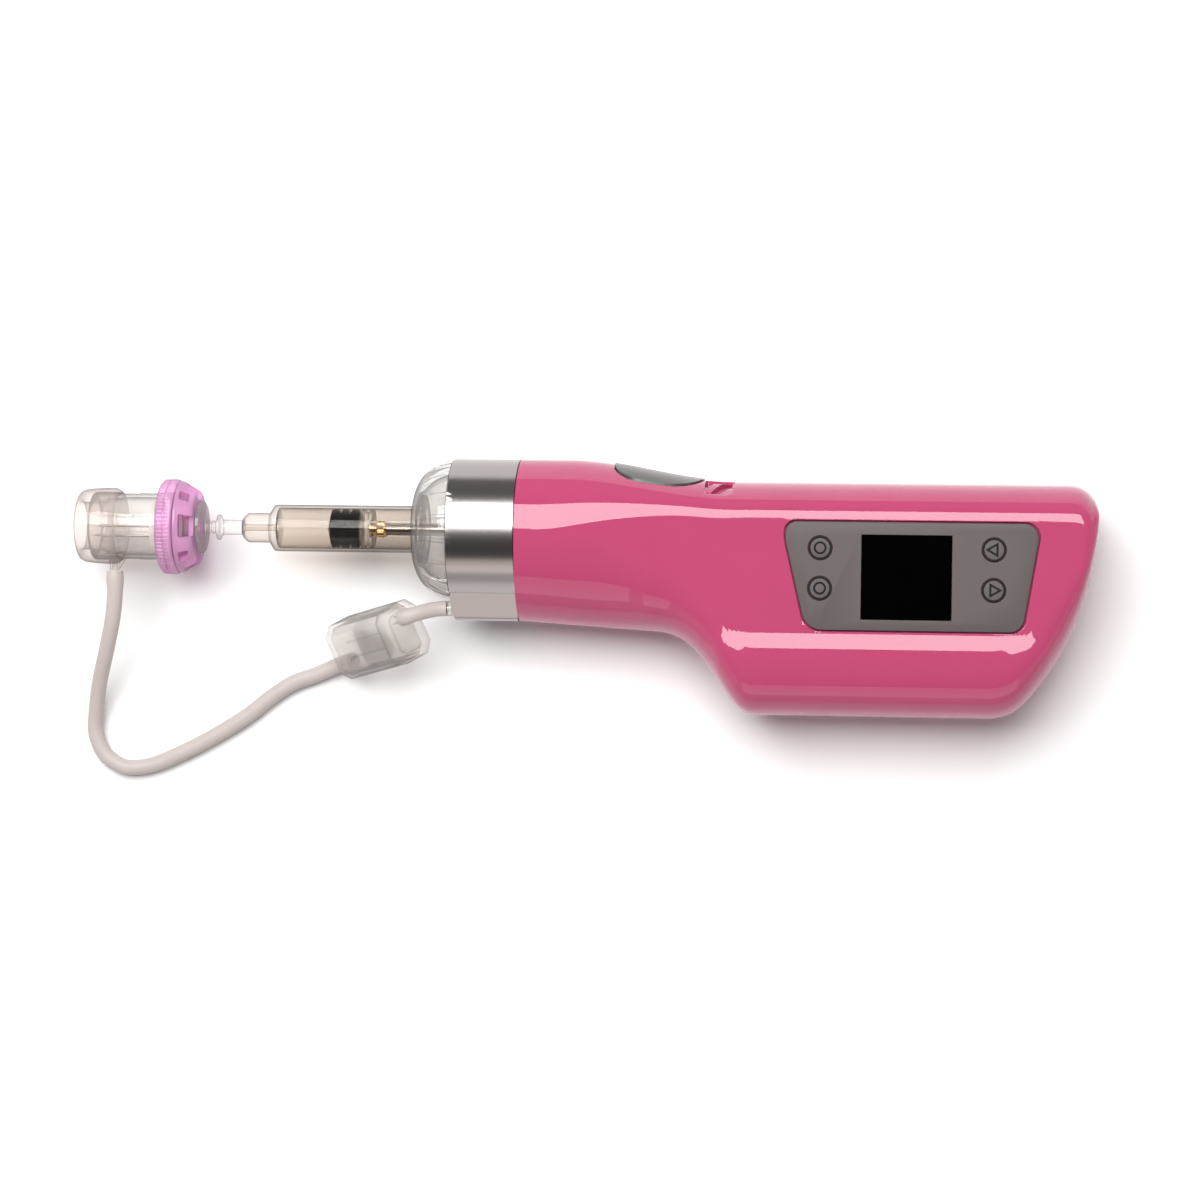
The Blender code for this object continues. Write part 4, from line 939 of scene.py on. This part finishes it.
def printed_triangle(name, x, y, top, way):
    """An open triangle that points along X, towards the tail when way is 1."""
    reach = 2.5
    angles = (0, 2 * math.pi / 3, 4 * math.pi / 3)
    outer = [(reach * math.cos(a), reach * math.sin(a)) for a in angles]
    outer = [(x + way * px, y + py) for px, py in outer]
    centre = Vector((x, y))
    inner = [centre + (Vector(p) - centre) * 0.52 for p in outer]
    mark = plate(name, outer, top - 0.05, top + 0.03, ink)
    return cut(mark, plate("opening", inner, top - 1, top + 1, None))


# The nose.


def make_nose_ring():
    """The anodised ring with its keel, open inside for the cap and the hose port."""
    bore = NOSE_R - RING_WALL
    back = SHELL_FRONT - GAP
    ring = turned(
        "nose_ring_sleeve",
        [(RING_FRONT + (back - RING_FRONT) * i / 10, NOSE_R) for i in range(11)]
        + [(back, bore), (RING_FRONT, bore)],
        anodised,
        soft=0.0,
        sides=160,
    )
    crease = AXIS_Y - NOSE_R
    outline = rounded(
        [
            (-KEEL_HALF_WIDTH + 3.5, KEEL_BOTTOM, 2.5),
            (KEEL_HALF_WIDTH - 3.5, KEEL_BOTTOM, 2.5),
            (KEEL_HALF_WIDTH + 2.5, crease + 3.4, 0.5),
            (-KEEL_HALF_WIDTH - 2.5, crease + 3.4, 0.5),
        ],
        10,
    )
    stand = stood((0.0, 0.0, AXIS_Z), math.pi / 2, "Y")
    join(ring, plate("keel", outline, RING_FRONT, back, None, place=stand))
    hollow = [(z * 0.72, y if y > crease else y + 1.8) for z, y in outline]
    cut(
        ring,
        plate("keel_hollow", hollow, RING_FRONT + 2.0, back + 3.0, None, place=stand),
        bore_along("bore", RING_FRONT - 1, back + 2, bore, 160),
    )
    slope = stood((RING_FRONT - 1.0, KEEL_BOTTOM - 2.0, AXIS_Z), math.radians(30), "Z")
    wedge = [(-3.0, -8.0), (3.0, -8.0), (3.0, 8.0), (-3.0, 8.0)]
    cut(
        ring,
        plate("keel_slant", wedge, -20.0, 20.0, None, place=slope),
        bore_along("port_hole", RING_FRONT - 3, RING_FRONT + 6, 2.5, 32, PORT_Y, PORT_Z),
    )
    broken_edges(ring, 0.3, 35)
    piece(ring, "housing", "silver", "nose_ring")


def make_nose_cap():
    """The clear dome that holds the syringe's flange, with raised ribs to grip it by."""
    front, base = RING_FRONT - CAP_LENGTH, RING_FRONT - GAP
    hole = BARREL_R + 0.3
    skirt = NOSE_R - RING_WALL - GAP
    flange_room = FLANGE_R + 0.6
    span = CAP_LENGTH - GAP
    crown = NOSE_R - 0.45

    outer, inner = [], []
    for i in range(25):
        t = math.pi / 2 * i / 24
        reach = hole + 0.3 + (crown - hole - 0.3) * math.sin(t)
        outer.append((base - span * math.cos(t), reach))
    for i in range(24):
        t = math.pi / 2 * i / 24
        x = RING_FRONT - span * 0.86 * math.cos(t)
        reach = hole + (skirt - 2.0 - hole) * math.sin(t)
        if reach > flange_room + 0.4:
            inner.append((x, reach))
    line = [(front, hole + 0.1), *outer[1:]]
    line += [(base, skirt), (RING_FRONT + CAP_SKIRT, skirt)]
    line += [(RING_FRONT + CAP_SKIRT, skirt - 2.0), *reversed(inner)]
    line += [(front + 1.6, flange_room), (front + 1.6, hole), (front, hole)]

    def ribs(along, radius, angle):
        """Shallow flats between narrow ridges, on the outside of the dome only."""
        bulge = math.sqrt(max(0.0, 1 - ((base - along) / span) ** 2))
        shell = hole + 0.3 + (crown - hole - 0.3) * bulge
        if radius < shell - 0.35 or along > base - 0.1:
            return 0.0
        strength = smooth(along, front + 3.2, front + 5.0)
        phase = (angle * CAP_RIBS / (2 * math.pi)) % 1.0
        ridge = smooth(0.5 - abs(phase - 0.5), 0.05, 0.08)
        return -0.8 * strength * ridge

    sides = CAP_RIBS * 20
    cap = turned("nose_cap_dome", line, polycarbonate, soft=0.15, sides=sides, ripple=ribs)
    piece(cap, "nose_cap", "clear", "nose_cap")


# The syringe and its plunger.


def make_syringe():
    bore = BARREL_R - BARREL_WALL
    collar_x = SHOULDER_X - 1.5
    front = collar_x - COLLAR_LENGTH
    outline = [(front, 1.0), (front, 3.0), (front + 1.6, 4.5), (collar_x, 4.5)]
    outline += [(collar_x + 0.2, 5.0), (SHOULDER_X, BARREL_R)]
    outline += from_x(BARREL_BACK, (-1.6, BARREL_R), (-1.5, FLANGE_R), (0.0, FLANGE_R), (0.0, bore))
    outline += [(SHOULDER_X + 1.1, bore), (SHOULDER_X + 0.6, 1.0)]
    barrel = turned("syringe_tube", outline, polypropylene, soft=0.5)
    piece(barrel, "housing", "clear", "syringe_barrel")

    stopper_r = bore - 0.25
    groove = stopper_r - 1.1
    third = STOPPER_LENGTH / 3
    outline = [(STOPPER_X - 1.6, 0.0), (STOPPER_X - 1.3, 0.9), (STOPPER_X, stopper_r - 0.6)]
    for i in range(3):
        x = STOPPER_X + third * i
        outline += [(x + 0.25, stopper_r), (x + third - 0.75, stopper_r)]
        if i < 2:
            outline += [(x + third - 0.5, groove), (x + third, groove)]
    back = STOPPER_X + STOPPER_LENGTH
    outline += [(back, groove), (back, 0.0)]
    stopper = turned("stopper_plug", outline, stopper_rubber, soft=0.3)
    piece(stopper, "plunger", "rubber", "plunger_stopper")

    tip_front = back + GAP + 2.2
    holder_back = back + GAP + 3.6
    waist = stopper_r - 0.8
    outline = from_x(back, (GAP, 0.0), (GAP, stopper_r), (1.4, stopper_r), (1.6, waist))
    outline += from_x(holder_back, (-1.2, waist), (-1.0, stopper_r), (0.0, stopper_r), (0.0, 2.6))
    outline += [(tip_front, 2.6), (tip_front, 0.0)]
    holder = turned("stopper_holder", outline, polycarbonate)
    piece(holder, "plunger", "clear", "plunger_holder")

    brass_back = tip_front + 5.3

    def knurl(along, radius, angle):
        """Straight knurling on the wider part."""
        if radius < 2.35 or along < holder_back + 1.2:
            return 0.0
        return 0.08 * math.cos(angle * 24)

    tip = turned(
        "push_tip",
        [(tip_front + GAP, 0.0), (tip_front + GAP, 2.3), (holder_back + GAP, 2.3)]
        + [(holder_back + 0.7, 1.9), (holder_back + 1.0, 1.9), (holder_back + 1.3, 2.4)]
        + [(brass_back - 0.8, 2.4), (brass_back, 2.2), (brass_back, 2.15), (tip_front + 2.5, 2.15)]
        + [(tip_front + 2.4, 0.0)],
        brass,
        soft=0.1,
        ripple=knurl,
    )
    piece(tip, "plunger", "brass", "plunger_tip")


# The needle head.


def make_suction_cup():
    """A soft cup over the head's front, with a thin bead at its open back edge."""
    front, back = HEAD_FRONT, HEAD_FRONT + CUP_LENGTH
    seat = HEAD_R + GAP
    cup = turned(
        "suction_cup_skin",
        [(front + 0.1, 7.3), (front, 8.6), (front + 0.5, 10.3), (front + 1.9, CUP_R - 0.35)]
        + [(front + 5.0, CUP_R), (back - 3.0, CUP_R + 0.2), (back - 1.7, CUP_R + 0.3)]
        + [(back, CUP_R - 0.7), (back, seat), (front + 4.6, seat), (front + 4.5, 7.2)],
        thin_silicone,
        soft=0.9,
    )
    low, high = (PORT_X, AXIS_Y - 9.6, AXIS_Z), (PORT_X, AXIS_Y - 13.0, AXIS_Z)
    cut(cup, bar("port_notch", low, high, 1.8))
    piece(cup, "head_sleeve", "silicone", "suction_cup")


def make_head_barrel():
    """The clear cylinder: a thick front collar, steps inside, and the hose port below."""
    front, back = HEAD_FRONT + 4.5 + GAP, DIAL_FRONT + 2.0
    waist, waist_end = HEAD_R - 0.12, -134.5
    barrel = turned(
        "head_cylinder",
        [(front, HEAD_R), (PORT_X + 2.6, HEAD_R), (PORT_X + 2.8, waist)]
        + [(waist_end - 0.2, waist), (waist_end, HEAD_R), (back, HEAD_R)]
        + [(back, 8.85), (front + 9.0, 8.85), (front + 8.6, 8.5), (front + 3.9, 8.5)]
        + [(front + 3.5, 7.6), (front, 7.6)],
        polycarbonate,
        soft=0.15,
    )
    foot = (PORT_X, AXIS_Y - HEAD_R + 0.6, AXIS_Z)
    outline = [(0.0, 0.0), (0.0, 2.3), (1.2, 1.7), (2.6, 1.5), (4.0, 1.5), (4.0, 0.0)]
    neck = turned("neck", outline, None, (0, 0, 0), sides=32)
    neck.matrix_world = stood(Vector(foot) * MM, -math.pi / 2, "Z")
    web = [(0.0, 0.6), (3.4, 0.6), (0.9, -3.2), (0.0, -3.2)]
    stand = Matrix.Translation((PORT_X + 0.3, AXIS_Y - HEAD_R, AXIS_Z))
    bpy.context.view_layer.update()
    join(barrel, neck, plate("web", web, -0.6, 0.6, None, place=stand))
    inside, outside = (PORT_X, AXIS_Y - 7.0, AXIS_Z), (PORT_X, AXIS_Y - 15.0, AXIS_Z)
    cut(barrel, bar("port_bore", inside, outside, 0.8))
    piece(barrel, "head_sleeve", "clear", "head_barrel")


def make_dial():
    """The depth dial: two bands with fine grip lines and a groove between them."""

    def grip(along, radius, angle):
        if radius < DIAL_R - 0.25 or not DIAL_FRONT + 0.7 < along < DIAL_BACK - 0.7:
            return 0.0
        return -0.3 * (0.5 + 0.5 * math.cos(angle * DIAL_RIDGES)) ** 4

    bore = HEAD_R + 0.3
    middle = DIAL_FRONT + 2.7
    dial = turned(
        "depth_dial_grip",
        [(DIAL_FRONT, DIAL_R - 1.0), (DIAL_FRONT + 0.8, DIAL_R - 0.05), (middle - 0.25, DIAL_R)]
        + [(middle - 0.1, DIAL_R - 0.3), (middle + 0.1, DIAL_R - 0.3), (middle + 0.25, DIAL_R)]
        + [(DIAL_BACK - 0.6, DIAL_R), (DIAL_BACK, DIAL_R - 0.6), (DIAL_BACK, 6.5)]
        + [(DIAL_FRONT + 4.1, 6.5), (DIAL_FRONT + 4.0, bore), (DIAL_FRONT, bore)],
        purple_polycarbonate,
        soft=0.08,
        sides=DIAL_RIDGES * 8,
        ripple=grip,
    )
    piece(dial, "dial", "purple", "depth_dial")


def make_rear_cap():
    """The purple cone behind the dial, open in four windows and four wide slots."""
    front = DIAL_BACK + GAP
    cone = turned(
        "head_cone",
        [(front, DIAL_R - 0.5), (front + 0.7, DIAL_R - 0.6), (REAR_CAP_BACK - 0.5, CUP_R + 0.1)]
        + [(REAR_CAP_BACK, CUP_R - 0.5), (REAR_CAP_BACK, 3.3), (REAR_CAP_BACK - 1.3, 3.3)]
        + [(REAR_CAP_BACK - 1.4, CUP_R - 1.8), (front, DIAL_R - 2.4)],
        purple_polycarbonate,
        soft=0.12,
        sides=160,
    )
    window = [(front + 1.2, -2.0, 0.5), (front + 4.0, -1.6, 0.5)]
    window += [(front + 4.0, 1.6, 0.5), (front + 1.2, 2.0, 0.5)]
    slot = [(front + 1.6, -3.6, 0.6), (REAR_CAP_BACK + 2, -2.6, 0.6)]
    slot += [(REAR_CAP_BACK + 2, 2.6, 0.6), (front + 1.6, 3.6, 0.6)]
    centre = (0.0, AXIS_Y, AXIS_Z)
    for i in range(4):
        turn = stood(centre, math.pi / 4 + math.pi / 2 * i, "X")
        cut(cone, plate("cone_window", rounded(window, 4), 9.4, 16.0, None, place=turn))
        turn = stood(centre, math.pi / 2 * i, "X")
        cut(cone, plate("cone_slot", rounded(slot, 4), 8.4, 16.0, None, place=turn))
    piece(cone, "housing", "purple", "head_rear_cap")


def make_luer_hub():
    """The clear hub: a disc under the cone, a ringed stem, and a plug in the syringe's collar."""
    front = DIAL_BACK + GAP + 0.8
    disc = REAR_CAP_BACK + GAP
    back = REAR_CAP_BACK + 1.7
    plug = SHOULDER_X - COLLAR_LENGTH - 1.8
    outline = [(front, 0.0), (front, 2.9), (disc, 2.9), (disc, 8.0)]
    outline += from_x(
        back, (0.0, 7.6), (0.1, 1.6), (0.9, 1.5), (1.1, 2.2), (1.5, 2.2), (1.7, 1.5), (2.3, 1.5),
        (2.5, 2.0), (2.9, 2.0), (3.2, 1.7), (3.9, 2.3), (4.2, 3.8), (4.9, 3.9), (5.3, 2.9),
        (6.0, 2.3),
    )
    outline += [(plug, 2.25), (plug, 0.0)]
    hub = turned("luer_stem", outline, polycarbonate)
    piece(hub, "housing", "clear", "luer_hub")


# The filter box and the hoses.


def in_filter(x, y, z):
    return FILTER_PLACE @ Vector((x, y, z))


def box_outline(depth, width, corner):
    """The box's cross-section as (depth, width): a rectangle with its corners cut off."""
    flat_d, flat_w = depth / 2 - corner, width / 2 - corner
    d, w = depth / 2, width / 2
    corners = [(d, flat_w), (flat_d, w), (-flat_d, w), (-d, flat_w)]
    corners += [(-d, -flat_w), (-flat_d, -w), (flat_d, -w), (d, -flat_w)]
    return rounded([(x, y, 0.7) for x, y in corners], 4)


def box_part(name, depth, width, corner, low, high, paint, soft=0.0, both=False):
    along = FILTER_PLACE @ Matrix.Rotation(math.pi / 2, 4, "Y")
    return plate(name, box_outline(depth, width, corner), low, high, paint, soft, along, both)


def filter_bore(name, along, across):
    low, high = in_filter(along - 5, across, 0), in_filter(along + 5, across, 0)
    return bar(name, low, high, 1.2)


def make_filter():
    half = FILTER_LENGTH / 2
    joint = half - LID_LENGTH - GAP
    thin = 2 * FILTER_WALL
    depth, width = FILTER_DEPTH, FILTER_WIDTH
    outside = (depth, width, FILTER_CORNER)
    inside = (depth - thin, width - thin, FILTER_CORNER - 0.6)
    body = box_part("filter_case", *outside, -half, joint, polycarbonate, 0.5, True)
    room = box_part("room", *inside, -half + FILTER_WALL, joint + 3, None)
    cut(body, room, filter_bore("inlet", -half, -FILTER_PORT))
    ribs = []
    start, end, roof = -half + 6.5, joint - 2.0, depth / 2 - FILTER_WALL
    for i, y in enumerate((2.7, -2.1)):
        low, high = y - 0.25, y + 0.25
        line = [(start, low), (end, low), (end, high), (start, high)]
        ribs.append(plate(f"rib_{i}", line, roof - 1.0, roof + 0.2, None, place=FILTER_PLACE))
    join(body, *ribs)
    piece(body, "housing", "clear", "filter_body")

    lid = box_part("filter_cover", *outside, half - LID_LENGTH, half, polycarbonate, 0.6, True)
    recess = box_part("recess", depth - 5.5, width - 5.5, 1.6, half - 1.3, half + 5, None)
    cut(lid, recess, filter_bore("outlet", half, FILTER_PORT))
    piece(lid, "housing", "clear", "filter_lid")

    disc = box_part(
        "filter_felt", depth - thin - 0.6, width - thin - 0.6, 2.3, -2.5, -1.5, membrane, 0.2, True
    )
    piece(disc, "housing", "nylon", "filter_membrane")
    return body, lid, disc


def make_hoses():
    half = FILTER_LENGTH / 2
    straight = [in_filter(-half - d, -FILTER_PORT, 0.0) for d in (6.0, 3.8, 2.0, GAP)]
    route = curve_through([*HOSE_ROUTE, *straight], 4)

    def long_radius(at, total):
        """Stretched over the port at its head end, and over the filter's barb at the other."""
        flare = 0.25 * (1 - smooth(at, 3.5, 5.2)) - 0.15 * (1 - smooth(at, 0.0, 1.0))
        return HOSE_R - 0.12 + flare + 0.12 * smooth(at, total - 4, total - 2.5)

    long_hose, length = hose("suction_hose", route, long_radius, silicone)
    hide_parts("hose_1")
    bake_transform(long_hose)

    outlet, leaving = (in_filter(half + GAP + d, FILTER_PORT, 0) for d in (0.0, BEND))
    port = Vector((RING_FRONT - 1.6 - GAP, PORT_Y, PORT_Z))
    arriving = port - Vector((BEND, 0.0, 0.0))
    short_route = []
    for i in range(25):
        t = i / 24
        near = outlet * (1 - t) ** 3 + leaving * 3 * t * (1 - t) ** 2
        short_route.append(near + arriving * 3 * t * t * (1 - t) + port * t**3)

    def short_radius(at, total):
        return HOSE_R - 0.2 + 0.2 * (1 - smooth(at, 2.0, 3.2))

    short_hose, _ = hose("short_hose", short_route, short_radius, silicone)
    piece(short_hose, "housing", "silicone", "hose_2")
    return long_hose, length, [list(p * MM) for p in route], short_hose


def make_hose_run():
    """The filter hangs on the long hose and on the short one that goes into the nose."""
    box_pieces = make_filter()
    long_hose, length, path, short_hose = make_hoses()


# Small hardware, and what keeps its CAD shape.


def make_case_screws():
    """Countersunk cross-head screws in the back."""
    for number in range(1, 5):
        x, y, base, top = plan_of(f"case_screw_{number}")
        head = base + SCREW_HEAD_DEPTH
        outline = [(base, 0.0), (base, 1.7), (base + 0.25, SCREW_HEAD_R), (head, SCREW_HEAD_R)]
        outline += [(head, 1.2), (top, 1.2), (top, 0.0)]
        screw = turned(
            f"cross_head_screw_{number}", outline, steel, (x, y, 0.0), sides=48, upright=True
        )
        for half_x, half_y in ((1.3, 0.28), (0.28, 1.3)):
            low, high = (x - half_x, y - half_y, base - 1), (x + half_x, y + half_y, base + 1)
            cut(screw, block("cross", low, high))
        piece(screw, "housing", "steel", f"case_screw_{number}")


def make_charge_socket():
    low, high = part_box("charge_socket")
    x0, x1 = low[0] / MM, high[0] / MM
    y, z = (low[1] + high[1]) / 2 / MM, (low[2] + high[2]) / 2 / MM
    socket = turned(
        "charging_socket",
        [(x0, 3.0), (x1 - 0.4, 3.0), (x1, 2.7), (x1, 1.9), (x1 - 0.4, 1.6), (x0 + 1.2, 1.6)]
        + [(x0 + 1.2, 1.45), (x0, 1.45)],
        black_nylon,
        centre=(0.0, y, z),
        soft=0.12,
        sides=64,
    )
    piece(socket, "housing", "black", "charge_socket")


CARRIED_OVER = {
    "needle_carrier": acetal,
    "carriage": acetal,
    "drive_frame": acetal,
    "rod_bush": brass,
    "push_rod": steel,
    "lead_screw": steel,
    "guide_rod": steel,
    "screw_bearing": steel,
    "drive_gearbox": steel,
    "drive_motor": steel,
    "pump_motor": steel,
    "pump_head": black_nylon,
    "display_module": black_nylon,
    "trigger_switch": black_nylon,
    "main_board": board_mask,
    "trigger_board": board_mask,
    "battery_cell": cell_sleeve,
    "vacuum_tube": silicone,
    "vacuum_port": polycarbonate,
}
CARRIED_OVER.update({f"needle_{i}": steel for i in range(1, 6)})
CARRIED_OVER.update({f"key_switch_{i}": black_nylon for i in range(1, 5)})


def paint_carried_over():
    """The CAD shapes that stay as they are get their real materials."""
    for name, paint in CARRIED_OVER.items():
        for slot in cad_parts[name].material_slots:
            slot.material = paint


set_camera()
set_room()
make_hose_run()
make_housing()
make_thumb_button()
make_panel()
make_nose_ring()
make_nose_cap()
make_syringe()
make_suction_cup()
make_head_barrel()
make_dial()
make_rear_cap()
make_luer_hub()
make_case_screws()
make_charge_socket()
paint_carried_over()
